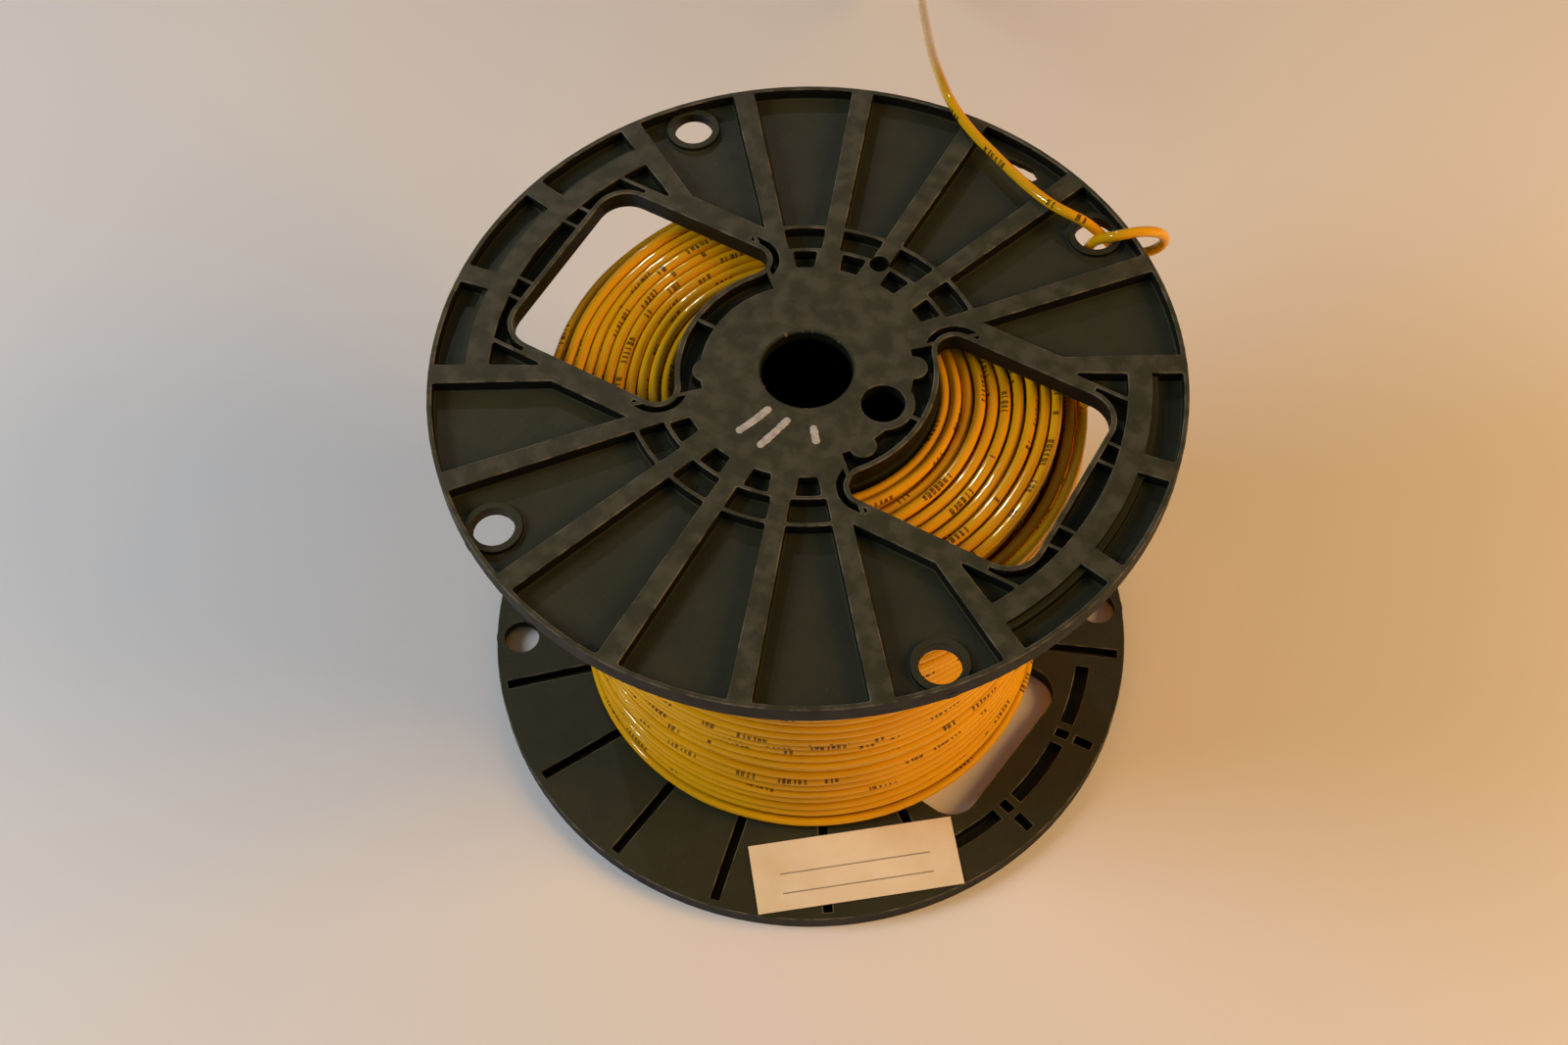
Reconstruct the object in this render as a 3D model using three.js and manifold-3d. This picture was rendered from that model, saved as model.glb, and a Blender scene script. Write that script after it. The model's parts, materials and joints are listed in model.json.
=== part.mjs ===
// A spool of yellow building wire, standing on one flange.
// Millimetres, +Z up. The origin is on the spool's axis, in the plane of the lower flange's outer face.
// The upper flange's two windows lie on the X axis.

import * as THREE from 'three';
import { mergeVertices } from 'three/addons/utils/BufferGeometryUtils.js';
import Module from 'manifold-3d';

const wasm = await Module();
wasm.setup();

const degrees = Math.PI / 180;
const mergeDistance = 1e-4; // between vertices that count as one
const overcut = 1; // how far a cutter reaches past the face that it leaves by

// ---- Driving dimensions ----

const spoolWidth = 119; // over both flanges
const flangeRadius = 82.5;
const flangeThickness = 4.8; // inner face to rib tops
const webThickness = 1.7;
const seatGap = 0.3; // between pieces that touch
const circleSteps = 80;
const holeSteps = 16;
const arcStep = 9 * degrees;

const rimWall = 1.1;
const firstRib = 30 * degrees; // angle from the window axis
const ribCount = 7; // in each half, from window to window
const ribPitch = (Math.PI - 2 * firstRib) / (ribCount - 1);
const ribWidthAtHub = 4;
const ribWidthAtRim = 5;

const hubPlate = 2.9;
const hubPocketInset = 1.4; // from the hub disc to the first ring of pockets round it
const hubPocketDepth = 4.6; // of those pockets, along the radius
const hubPocketGap = 5.8; // rib width between those pockets
const ringWall = 0.9; // thin arcs that tie the ribs together
const ringPitch = 6.6; // from one thin arc to the next
const ribPocketRadius = 2.2; // round pocket in the middle rib of one half

const boreRadius = 10;
const boreChamfer = 0.6;
const driveHoleRadius = 4.8;
const driveHoleOffset = 18.8;
const driveBossWall = 2.1;

const rimHoleRadius = 4.5;
const rimHoleInset = 6.5; // hole centre from the flange's edge
const rimHolePanels = [1, 5]; // panels that hold a hole, counted from the first rib
const rimHoleCollar = 1.7; // wall round the hole
const rimHoleWall = 2.8; // height of that wall

const windowBarrelInset = 0.5; // inner edge from the barrel's outside
const windowRimInset = 18.5; // outer edge from the flange's edge
const windowHalfWidth = 23.9;
const windowInnerFillet = 4;
const windowOuterFillet = 7;
const lipWall = 1.2;
const lipChannel = 1.5; // groove round the lip's corners
const hubChannelWidth = 4.3; // groove between the lip and the hub disc
const hubChannelEnd = 43 * degrees; // a thin wall parts the two grooves
const hubLobeRadius = 3; // round lobes of the hub disc in that groove
const hubLobeAngle = 30 * degrees;
const hubLobeGap = 1.2; // from the lobes to the lip beside the drive hole
const smallLobeGap = 2.6; // from the lobe to the lip in the other half
const hubRecessWall = 0.6; // round the recess under the hub disc, inside the groove
const beamWidth = 4.6; // bar beside the window
const beamStart = 20; // where the bar leaves the hub, along X

const outerChannelWidth = 4.2; // from the lip to the raised arc outside each window
const bandWidth = 5.2; // of that arc
const ledgeWidth = 1.4;
const ledgeDrop = 1.2;
const ledgeOverlap = 0.2; // into the recesses outside it
const bandGroove = 3.3; // cored out from the inner face, in three stretches between the ribs
const bandGrooveInset = 3.2; // from a stretch's end to the middle of the short rib beside it
const bandGrooveSideInset = 4.7; // and of the rib beside the window
const shortRibGrooveWall = 1.8; // between the two grooves in a short rib
const shortRibGrooveInset = 2.4; // from the outer one to the flange's edge
const crossWall = 0.8; // thin walls across the window's outer channel
const crossWallPlaces = [9.3, 14.4];

const ribGroove = 2.3; // ribs are cored out from the inner face
const ribSkin = 1.3; // what is left over the groove
const ribGrooveHubInset = 10; // from the barrel's outside
const ribGrooveRimInset = 1.9;
const sideGrooveLength = 27.5; // on the ribs that run beside a window

const lowerFlangeTurn = -7.5 * degrees;

const brokenInset = 5.2; // ragged patch broken out of the upper flange's web, from its edge
const brokenAngle = 79.3 * degrees;
const brokenOutline = [
  [-4.2, 0.9], [-2.5, 1.4], [0, 1.3], [2.7, 1.1], [5, -0.5], [4, -2.3], [1, -1.7], [-2, -0.6],
];

const barrelRadius = 29.2;
const barrelWall = 2.3;
const spigotLength = 7; // flange collar that plugs into the barrel
const spigotWall = 2.4;

const wireDiameter = 2.4;
const windingRadius = 58.5;
const windingLoops = 24;
const loopSteps = 24;
const tubeSides = 6;
const turnGap = 0.45; // between neighbouring turns of the outer layer
const windingEndAngle = 21 * degrees;

const looseSides = 8;
const rimLoopLength = 104;
const rimLoopSteps = 36;
const tailSteps = 44;
const pathDivisions = 4000; // for measuring along the path
const conductorDiameter = 1.5;
const conductorStub = 0.6;
const conductorSides = 12;

const labelLength = 51;
const labelWidth = 18;
const labelThickness = 0.25;
const labelCorner = 1;
const labelCornerStep = 30 * degrees;
const labelInset = 0.9; // its middle, inwards from midway between the winding and the flange's edge
const labelAngle = -51.3 * degrees;
const labelTurn = 38.4 * degrees;

const mouldedPlastic = { color: 0x2b2a26, roughness: 0.55, metalness: 0 };
const nylonJacket = { color: 0xe8b818, roughness: 0.32, metalness: 0 };
const copper = { color: 0xb8734a, roughness: 0.35, metalness: 1 };
const paper = { color: 0xe4cda0, roughness: 0.8, metalness: 0 };

// ---- Solids ----

function solidFrom(geometry) {
  const bare = geometry.clone();
  bare.deleteAttribute('normal');
  bare.deleteAttribute('uv');
  const merged = mergeVertices(bare, mergeDistance);
  return new wasm.Manifold(new wasm.Mesh({
    numProp: 3,
    vertProperties: new Float32Array(merged.attributes.position.array),
    triVerts: new Uint32Array(merged.index.array),
  }));
}

function geometryFrom(solid) {
  const mesh = solid.getMesh();
  const geometry = new THREE.BufferGeometry();
  geometry.setAttribute('position', new THREE.BufferAttribute(new Float32Array(mesh.vertProperties), 3));
  geometry.setIndex(new THREE.BufferAttribute(new Uint32Array(mesh.triVerts), 1));
  geometry.computeVertexNormals();
  return geometry;
}

const polar = (radius, angle) => new THREE.Vector2(radius * Math.cos(angle), radius * Math.sin(angle));

function arcPoints(center, radius, from, to, step = arcStep) {
  const count = Math.max(1, Math.ceil(Math.abs(to - from) / step - 1e-6));
  return Array.from({ length: count + 1 }, (_, i) => {
    return polar(radius, from + (to - from) * i / count).add(center);
  });
}

const axis = new THREE.Vector2(0, 0);

function prism(points, low, high) {
  const options = { depth: high - low, bevelEnabled: false };
  const geometry = new THREE.ExtrudeGeometry(new THREE.Shape(points), options);
  return solidFrom(geometry.translate(0, 0, low));
}

function bar(x0, x1, y0, y1, low, high) {
  const corners = [[x0, y0], [x1, y0], [x1, y1], [x0, y1]];
  return prism(corners.map(([x, y]) => new THREE.Vector2(x, y)), low, high);
}

function disc(x, y, radius, low, high, steps = circleSteps) {
  const geometry = new THREE.CylinderGeometry(radius, radius, high - low, steps);
  return solidFrom(geometry.rotateX(Math.PI / 2).translate(x, y, (low + high) / 2));
}

function ringGeometry(inner, outer, low, high, steps = circleSteps) {
  const profile = [[inner, low], [outer, low], [outer, high], [inner, high], [inner, low]]
    .map(([radius, height]) => new THREE.Vector2(radius, height));
  return new THREE.LatheGeometry(profile, steps).rotateX(Math.PI / 2);
}

const turned = (solid, angle) => solid.rotate([0, 0, angle / degrees]);

const joined = (solids) => solids.reduce((sum, solid) => sum.add(solid));

// ---- Flange, with its inner face at z = 0 and its ribs up ----

const above = flangeThickness + overcut;
const below = -overcut;
const rimInside = flangeRadius - rimWall;
const spigotOutside = barrelRadius - barrelWall - seatGap;
const hubRadius = spigotOutside; // flat disc at rib height
const windowInnerRadius = barrelRadius - windowBarrelInset;
const lipRadius = windowInnerRadius - lipWall; // the lip's side that faces the hub disc
const hubChannelInside = lipRadius - hubChannelWidth;
const windowOuterX = flangeRadius - windowRimInset;
const bandInnerRadius = windowOuterX + lipWall + outerChannelWidth;
const bandOuterRadius = bandInnerRadius + bandWidth;
const recessInside = bandOuterRadius + ledgeWidth;
const beamOutside = windowHalfWidth + lipWall + beamWidth;
const firstPocket = hubRadius + hubPocketInset;
const firstRing = firstPocket + hubPocketDepth;
const secondRing = firstRing + ringPitch;

// Angle from a rib's middle to its edge
function ribEdge(radius, width) {
  return Math.asin(width / 2 / radius);
}

function ribWidth(radius) {
  const along = (radius - hubRadius) / (flangeRadius - hubRadius);
  return THREE.MathUtils.lerp(ribWidthAtHub, ribWidthAtRim, along);
}

// A recess between the rib at an angle and the next one, from one radius to another
function panel(rib, inner, outer, widthInside = ribWidth(inner)) {
  const nearEdge = ribEdge(inner, widthInside);
  const farEdge = ribEdge(outer, Math.max(widthInside, ribWidth(outer)));
  const next = rib + ribPitch;
  const points = [
    ...arcPoints(axis, outer, rib + farEdge, next - farEdge),
    ...arcPoints(axis, inner, next - nearEdge, rib + nearEdge, 2 * arcStep),
  ];
  return prism(points, webThickness, above);
}

// The opening's outline, grown by a wall or a groove
function windowOutline(grow) {
  const fillet = new THREE.Vector2(0, windowHalfWidth - windowInnerFillet);
  fillet.x = Math.sqrt((windowInnerRadius + windowInnerFillet) ** 2 - fillet.y ** 2);
  const corner = new THREE.Vector2(windowOuterX - windowOuterFillet, windowHalfWidth - windowOuterFillet);
  const touch = fillet.angle();
  const filletStep = 3 * arcStep;
  const half = [
    ...arcPoints(axis, windowInnerRadius - grow, 0, touch),
    ...arcPoints(fillet, windowInnerFillet + grow, Math.PI + touch, Math.PI / 2, filletStep).slice(1),
    ...arcPoints(corner, windowOuterFillet + grow, Math.PI / 2, 0, filletStep),
  ];
  const mirrored = half.slice(1).reverse().map((point) => new THREE.Vector2(point.x, -point.y));
  return [...half, ...mirrored];
}

// Grooves round the lip on the hub side, parted by thin walls, round the drive hole's boss and the lobes
function hubChannel(withDriveHole) {
  const hubSide = [
    ...arcPoints(axis, windowInnerRadius, -hubChannelEnd, hubChannelEnd),
    ...arcPoints(axis, hubChannelInside, hubChannelEnd, -hubChannelEnd),
  ];
  const groove = prism(windowOutline(lipWall + lipChannel), webThickness, above)
    .intersect(bar(0, windowInnerRadius, -flangeRadius, flangeRadius, below, above))
    .add(prism(hubSide, webThickness, above))
    .subtract(prism(windowOutline(lipWall), below, above));
  const wall = bar(0, flangeRadius, -ringWall / 2, ringWall / 2, below, above);
  const walls = [-hubChannelEnd, 0, hubChannelEnd].map((angle) => turned(wall, angle));
  const gap = withDriveHole ? hubLobeGap : smallLobeGap;
  const lobes = (withDriveHole ? [hubLobeAngle, -hubLobeAngle] : [hubLobeAngle]).map((angle) => {
    return turned(disc(lipRadius - gap - hubLobeRadius, 0, hubLobeRadius, below, above, holeSteps), angle);
  });
  const boss = disc(driveHoleOffset, 0, driveHoleRadius + driveBossWall, below, above, holeSteps);
  return groove.subtract(joined([...walls, ...lobes, ...(withDriveHole ? [boss] : [])]));
}

// Channel between the lip and the raised band, in cells between thin cross walls
function outerChannel() {
  const start = windowOuterX - windowOuterFillet;
  const edge = windowHalfWidth + lipWall + ringWall;
  const walls = crossWallPlaces.flatMap((y) => [-y, y])
    .map((y) => bar(start, bandInnerRadius, y - crossWall / 2, y + crossWall / 2, below, above));
  return disc(0, 0, bandInnerRadius, webThickness, above)
    .intersect(bar(start, bandInnerRadius, -edge, edge, below, above))
    .subtract(prism(windowOutline(lipWall), below, above))
    .subtract(joined(walls));
}

// Three-cornered pocket between the lip's wall, the first rib and the band
function cornerPocket() {
  const low = windowHalfWidth + lipWall + 2 * ringWall;
  const edge = firstRib - ribEdge(bandInnerRadius, ribWidth(bandInnerRadius));
  const tip = new THREE.Vector2(low / Math.tan(edge), low);
  const far = Math.asin(low / bandInnerRadius);
  return prism([tip, ...arcPoints(axis, bandInnerRadius, far, edge)], webThickness, above);
}

function windowRecesses(withDriveHole) {
  const outer = [-1.5, -0.5, 0.5].map((turns) => panel(turns * ribPitch, recessInside, rimInside));
  const ledgeOutside = recessInside + ledgeOverlap;
  const ledge = solidFrom(ringGeometry(bandOuterRadius, ledgeOutside, flangeThickness - ledgeDrop, above));
  const sector = prism([axis, ...arcPoints(axis, 2 * flangeRadius, -firstRib, firstRib)], below, above);
  const stubs = [-ribPitch / 2, ribPitch / 2]
    .map((angle) => turned(bar(0, flangeRadius, -ribWidthAtRim / 2, ribWidthAtRim / 2, below, above), angle));
  const pocket = cornerPocket();
  return joined([
    hubChannel(withDriveHole),
    outerChannel(),
    pocket,
    pocket.mirror([0, 1, 0]),
    ...outer,
    ledge.intersect(sector).subtract(joined(stubs)),
  ]);
}

// Recesses between the ribs of one half, from window to window
function ribRecesses() {
  const beams = bar(beamStart, flangeRadius, 0, beamOutside, below, above)
    .add(bar(-flangeRadius, -beamStart, 0, beamOutside, below, above));
  const panels = [];
  for (let i = 0; i < ribCount - 1; i += 1) {
    const rib = firstRib + i * ribPitch;
    if (i > 0 && i < ribCount - 2) {
      panels.push(panel(rib, firstPocket, firstRing, hubPocketGap));
      panels.push(panel(rib, firstRing + ringWall, secondRing));
    }
    panels.push(panel(rib, secondRing + ringWall, rimInside));
  }
  return joined(panels).subtract(beams);
}

function rimHolePlaces() {
  const angles = rimHolePanels.map((index) => firstRib + (index + 0.5) * ribPitch);
  return [...angles, ...angles.map((angle) => angle + Math.PI)].map((angle) => {
    return polar(flangeRadius - rimHoleInset, angle);
  });
}

// Grooves in the inner face, under the ribs and under the bands
function innerGrooves() {
  const roof = flangeThickness - ribSkin;
  const alongRib = (from, to) => bar(from, to, -ribGroove / 2, ribGroove / 2, below, roof);
  const end = flangeRadius - ribGrooveRimInset;
  const rib = alongRib(barrelRadius + ribGrooveHubInset, end);
  const sideRib = alongRib(end - sideGrooveLength, end);
  const bandGrooveInside = bandInnerRadius + (bandWidth - bandGroove) / 2;
  const bandGrooveOutside = bandGrooveInside + bandGroove;
  const inset = Math.asin(bandGrooveInset / bandGrooveInside);
  const sideInset = Math.asin(bandGrooveSideInset / bandGrooveInside);
  const shortRib = ribPitch / 2;
  const shortRibGrooves = alongRib(bandGrooveInside, bandGrooveOutside)
    .add(alongRib(bandGrooveOutside + shortRibGrooveWall, flangeRadius - shortRibGrooveInset));
  const stretches = [
    [-firstRib + sideInset, -shortRib - inset],
    [-shortRib + inset, shortRib - inset],
    [shortRib + inset, firstRib - sideInset],
  ];
  const grooves = [];
  for (const half of [0, Math.PI]) {
    for (let i = 0; i < ribCount; i += 1) {
      const beside = i === 0 || i === ribCount - 1;
      grooves.push(turned(beside ? sideRib : rib, half + firstRib + i * ribPitch));
    }
    for (const [from, to] of stretches) {
      const arc = [
        ...arcPoints(axis, bandGrooveOutside, half + from, half + to),
        ...arcPoints(axis, bandGrooveInside, half + to, half + from),
      ];
      grooves.push(prism(arc, below, roof));
    }
    grooves.push(turned(shortRibGrooves, half - shortRib), turned(shortRibGrooves, half + shortRib));
  }
  return joined(grooves);
}

function hubCuts() {
  const boreProfile = [[0, below], [boreRadius, below], [boreRadius, flangeThickness - boreChamfer],
    [boreRadius + boreChamfer + overcut, above], [0, above]];
  const bore = new THREE.LatheGeometry(boreProfile.map(([r, z]) => new THREE.Vector2(r, z)), circleSteps / 2);
  return joined([
    solidFrom(bore.rotateX(Math.PI / 2)),
    disc(driveHoleOffset, 0, driveHoleRadius, below, above, holeSteps),
    disc(0, 0, hubChannelInside - hubRecessWall, below, flangeThickness - hubPlate, circleSteps / 2),
    disc(0, firstRing + ringWall / 2, ribPocketRadius, webThickness, above, holeSteps / 2),
  ]);
}

function flangeSolid() {
  const hubSteps = circleSteps / 2;
  const spigotInside = spigotOutside - spigotWall;
  const spigot = ringGeometry(spigotInside, spigotOutside, -spigotLength, webThickness, hubSteps);
  const ribs = ribRecesses();
  let flange = disc(0, 0, flangeRadius, 0, flangeThickness)
    .subtract(ribs)
    .subtract(turned(ribs, Math.PI))
    .subtract(windowRecesses(true))
    .subtract(turned(windowRecesses(false), Math.PI));
  for (const { x, y } of rimHolePlaces()) {
    flange = flange.add(disc(x, y, rimHoleRadius + rimHoleCollar, 0, rimHoleWall, holeSteps))
      .subtract(disc(x, y, rimHoleRadius, below, above, holeSteps));
  }
  const opening = prism(windowOutline(0), below, above);
  return flange.subtract(innerGrooves())
    .subtract(hubCuts())
    .add(solidFrom(spigot))
    .subtract(opening)
    .subtract(turned(opening, Math.PI));
}

function brokenPatch() {
  const center = polar(flangeRadius - brokenInset, brokenAngle);
  return prism(brokenOutline.map(([x, y]) => new THREE.Vector2(x, y).add(center)), below, above);
}

// ---- Wire ----

const innerFace = spoolWidth - flangeThickness; // of the upper flange
const windingLow = flangeThickness + seatGap;
const windingHigh = innerFace - seatGap;
const turnThickness = (windingHigh - windingLow + turnGap) / (windingLoops + 1) - turnGap;
const turnRadius = windingRadius - turnThickness / 2;
const coreRadius = turnRadius * Math.cos(Math.PI / loopSteps) - turnThickness / 2 - seatGap;

// Middle points of the outer layer, one steady helix with a straight piece at each end
function windingPoints() {
  const low = windingLow + turnThickness / 2;
  const high = windingHigh - turnThickness / 2;
  const count = windingLoops * loopSteps;
  const points = [];
  for (let i = 0; i <= count; i += 1) {
    const angle = windingEndAngle + (i - count) / loopSteps * 2 * Math.PI;
    const { x, y } = polar(turnRadius, angle);
    points.push(new THREE.Vector3(x, y, THREE.MathUtils.lerp(low, high, i / count)));
  }
  const alongEnd = (angle) => new THREE.Vector3(-Math.sin(angle), Math.cos(angle), 0);
  points.push(points[count].clone().addScaledVector(alongEnd(windingEndAngle), turnThickness));
  points.unshift(points[0].clone().addScaledVector(alongEnd(windingEndAngle), -turnThickness));
  return points;
}

// One section of the tube, square to the path at each point, with its corners kept upright
function tubeSections(points, radius, sides) {
  const up = new THREE.Vector3(0, 0, 1);
  return points.map((point, i) => {
    const before = points[Math.max(i - 1, 0)];
    const after = points[Math.min(i + 1, points.length - 1)];
    const along = after.clone().sub(before).normalize();
    const out = along.clone().cross(up).normalize();
    const down = along.clone().cross(out);
    return Array.from({ length: sides }, (_, k) => {
      const angle = (k + 0.5) / sides * 2 * Math.PI;
      return point.clone().addScaledVector(out, radius * Math.cos(angle))
        .addScaledVector(down, radius * Math.sin(angle));
    });
  });
}

// Closed tube through the sections, with flat ends
function tubeGeometry(sections) {
  const sides = sections[0].length;
  const index = [];
  for (let i = 0; i + 1 < sections.length; i += 1) {
    for (let k = 0; k < sides; k += 1) {
      const [a, b] = [i * sides + k, i * sides + (k + 1) % sides];
      index.push(a, b, b + sides, a, b + sides, a + sides);
    }
  }
  const last = (sections.length - 1) * sides;
  for (let k = 1; k + 1 < sides; k += 1) {
    index.push(0, k + 1, k);
    index.push(last, last + k, last + k + 1);
  }
  const geometry = new THREE.BufferGeometry().setFromPoints(sections.flat());
  geometry.setIndex(index);
  geometry.computeVertexNormals();
  return geometry;
}

// Least distance between a section's corners and those of the turn above it
function leastGap(sections) {
  let least = Infinity;
  for (let i = 0; i + loopSteps < sections.length; i += 1) {
    for (const corner of sections[i]) {
      for (const other of sections[i + loopSteps]) least = Math.min(least, corner.distanceTo(other));
    }
  }
  return least;
}

// The loose wire leaves the top turn, goes up through a rim hole, once round the rim and up through the
// hole again, then over the ribs and down to the table. Points are chosen by hand.
const rimLoopPoints = [
  [50.1, 36.4, 110.4], [46.8, 42.2, 109.3], [42.9, 49.5, 107.8], [39.9, 55.3, 106.7],
  [37.8, 59.5, 107.2], [37, 62.3, 109.8], [37.4, 63.6, 113], [38.5, 63.7, 116.2],
  [40.1, 62.9, 119.2], [42.2, 62.4, 121.7], [44.9, 63.3, 123.2], [47.4, 65.5, 123.3],
  [49.7, 68.3, 121.9], [51.3, 70.9, 119.5], [52.1, 72.8, 116.4], [51.8, 73.6, 113.2],
  [50.3, 73.5, 110.4], [47.9, 72.7, 108.5], [45.2, 71.5, 108.2], [42.7, 70.1, 109.6],
  [40.8, 68.8, 112], [39.3, 67.6, 114.8],
];
const tailPoints = [
  [37.4, 66.4, 117.7], [34.7, 65.3, 120.2], [31.2, 64.8, 121.2], [26.6, 65.8, 120.7],
  [19.9, 68, 120.5], [14.2, 70.4, 120.5], [8.2, 73.2, 120.5], [2.3, 76, 120.5],
  [-2.7, 79, 120.5], [-8.3, 83.3, 120.3], [-15.7, 92.9, 115.6], [-26.7, 111.2, 101.5],
  [-40, 135.8, 81], [-52.3, 158.8, 62], [-66.4, 185.5, 40], [-79, 206.5, 22],
  [-90, 221, 8.5], [-97.5, 226, 2.4], [-105, 226.5, 1.25], [-113, 222.5, 1.25],
  [-119, 216, 1.25],
];

// A stretch of a longer path, given by lengths along it
class Stretch extends THREE.Curve {
  constructor(path, from, to) {
    super();
    Object.assign(this, { path, from, to });
  }

  getPoint(t, target) {
    const along = this.from + (this.to - this.from) * t;
    return this.path.getPointAt(along / this.path.getLength(), target);
  }
}

function looseWire() {
  const turns = windingPoints();
  const [before, end] = turns.slice(-2);
  const along = end.clone().sub(before).normalize();
  const start = end.clone().addScaledVector(along, seatGap);
  const points = [...rimLoopPoints, ...tailPoints].map((point) => new THREE.Vector3(...point));
  const path = new THREE.CatmullRomCurve3([start, ...points]);
  path.arcLengthDivisions = pathDivisions;
  return path;
}

function roundSection(radius, sides) {
  return new THREE.Shape(arcPoints(axis, radius, 0, 2 * Math.PI, 2 * Math.PI / sides).slice(0, sides));
}

function tubeAlong(path, from, to, diameter, steps) {
  const options = { extrudePath: new Stretch(path, from, to), steps, bevelEnabled: false };
  return new THREE.ExtrudeGeometry(roundSection(diameter / 2, looseSides), options);
}

// ---- Label ----

function labelGeometry() {
  const x = labelLength / 2 - labelCorner;
  const y = labelWidth / 2 - labelCorner;
  const corners = [[x, y, 0], [-x, y, 1], [-x, -y, 2], [x, -y, 3]];
  const outline = corners.flatMap(([cx, cy, quarter]) => {
    const from = quarter * Math.PI / 2;
    return arcPoints(new THREE.Vector2(cx, cy), labelCorner, from, from + Math.PI / 2, labelCornerStep);
  });
  return new THREE.ExtrudeGeometry(new THREE.Shape(outline), { depth: labelThickness, bevelEnabled: false });
}

// ---- Assembly ----

const spool = new THREE.Group();

function addPiece(name, geometry, finish) {
  const mesh = new THREE.Mesh(geometry, new THREE.MeshStandardMaterial(finish));
  mesh.name = name;
  spool.add(mesh);
  return mesh;
}

const flange = flangeSolid();
const flangeGeometry = geometryFrom(flange);

const upperGeometry = geometryFrom(flange.subtract(brokenPatch()));
addPiece('upper_flange', upperGeometry, mouldedPlastic).position.z = innerFace;

const lower = addPiece('lower_flange', flangeGeometry, mouldedPlastic);
lower.rotation.set(Math.PI, 0, lowerFlangeTurn, 'ZXY');
lower.position.z = flangeThickness;

const barrel = ringGeometry(barrelRadius - barrelWall, barrelRadius, windingLow, windingHigh);
addPiece('barrel', barrel, mouldedPlastic);

const coreBore = barrelRadius + seatGap;
const core = ringGeometry(coreBore, coreRadius, windingLow, windingHigh, circleSteps / 2);
addPiece('wire_inner_layers', core, nylonJacket);

const outerLayer = tubeSections(windingPoints(), turnThickness / 2, tubeSides);
console.log('least gap between turns', leastGap(outerLayer).toFixed(3), 'mm');
addPiece('wire_outer_layer', tubeGeometry(outerLayer), nylonJacket);

const wire = looseWire();
const wireEnd = wire.getLength();
console.log('loose wire', wireEnd.toFixed(1), 'mm');
const loop = tubeAlong(wire, 0, rimLoopLength, wireDiameter, rimLoopSteps);
addPiece('wire_rim_loop', loop, nylonJacket);
const tail = tubeAlong(wire, rimLoopLength + seatGap, wireEnd, wireDiameter, tailSteps);
addPiece('wire_tail', tail, nylonJacket);

const conductorRadius = conductorDiameter / 2;
const stub = new THREE.CylinderGeometry(conductorRadius, conductorRadius, conductorStub, conductorSides);
const conductor = addPiece('wire_conductor', stub, copper);
const endDirection = wire.getTangentAt(1);
conductor.quaternion.setFromUnitVectors(new THREE.Vector3(0, 1, 0), endDirection);
conductor.position.copy(wire.getPointAt(1)).addScaledVector(endDirection, seatGap + conductorStub / 2);

const label = addPiece('label', labelGeometry(), paper);
const labelPlace = polar((windingRadius + flangeRadius) / 2 - labelInset, labelAngle);
label.position.set(labelPlace.x, labelPlace.y, flangeThickness + seatGap);
label.rotation.z = labelTurn;

export default spool;
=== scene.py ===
"""The looks of a spool of yellow building wire, standing on one flange.

Metres, +Z up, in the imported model's own frame: the spool's axis is the Z axis and it stands on z = 0.
"""
import json
import math

import bmesh
import bpy
import numpy as np
from mathutils import Matrix, Vector

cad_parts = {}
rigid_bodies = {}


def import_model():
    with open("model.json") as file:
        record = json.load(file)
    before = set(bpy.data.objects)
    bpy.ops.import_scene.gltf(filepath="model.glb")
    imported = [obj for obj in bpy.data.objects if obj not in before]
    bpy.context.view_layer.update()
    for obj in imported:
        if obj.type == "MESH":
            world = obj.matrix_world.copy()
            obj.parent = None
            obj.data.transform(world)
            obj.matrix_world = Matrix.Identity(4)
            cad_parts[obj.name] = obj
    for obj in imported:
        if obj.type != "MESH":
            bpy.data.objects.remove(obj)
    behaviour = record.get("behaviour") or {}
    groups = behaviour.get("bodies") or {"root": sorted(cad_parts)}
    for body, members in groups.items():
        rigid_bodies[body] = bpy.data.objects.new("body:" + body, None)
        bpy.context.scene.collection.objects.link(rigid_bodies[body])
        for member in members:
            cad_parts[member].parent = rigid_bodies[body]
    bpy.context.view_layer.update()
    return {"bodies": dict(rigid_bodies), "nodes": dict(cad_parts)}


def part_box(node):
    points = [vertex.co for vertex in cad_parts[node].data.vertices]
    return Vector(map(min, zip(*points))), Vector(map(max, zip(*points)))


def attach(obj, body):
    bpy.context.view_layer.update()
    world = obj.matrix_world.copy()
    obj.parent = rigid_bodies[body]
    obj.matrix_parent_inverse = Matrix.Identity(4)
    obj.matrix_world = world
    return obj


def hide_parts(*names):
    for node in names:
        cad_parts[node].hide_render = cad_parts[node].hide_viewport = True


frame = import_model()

BODY = next(iter(frame["bodies"]))
DEGREE = math.pi / 180
MM = 0.001
OVERCUT = 1 * MM  # how far a cutter reaches past the face that it leaves by

# ---- Sizes ----

upper_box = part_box("upper_flange")
lower_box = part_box("lower_flange")
FLANGE_RADIUS = lower_box[1].x
SPOOL_WIDTH = upper_box[1].z - lower_box[0].z
FLANGE_THICKNESS = 4.8 * MM  # inner face to rib tops
WEB = 1.7 * MM  # floor of the recesses between the ribs
SEAT_GAP = 0.3 * MM  # between pieces that touch
LOWER_FLANGE_TURN = -7.5 * DEGREE

BARREL_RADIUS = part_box("barrel")[1].x
BARREL_WALL = 2.3 * MM
WINDING_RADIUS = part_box("wire_outer_layer")[1].x
INNER_FACE = SPOOL_WIDTH - FLANGE_THICKNESS  # of the upper flange
WINDING_LOW = FLANGE_THICKNESS + SEAT_GAP
WINDING_HIGH = INNER_FACE - SEAT_GAP

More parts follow.
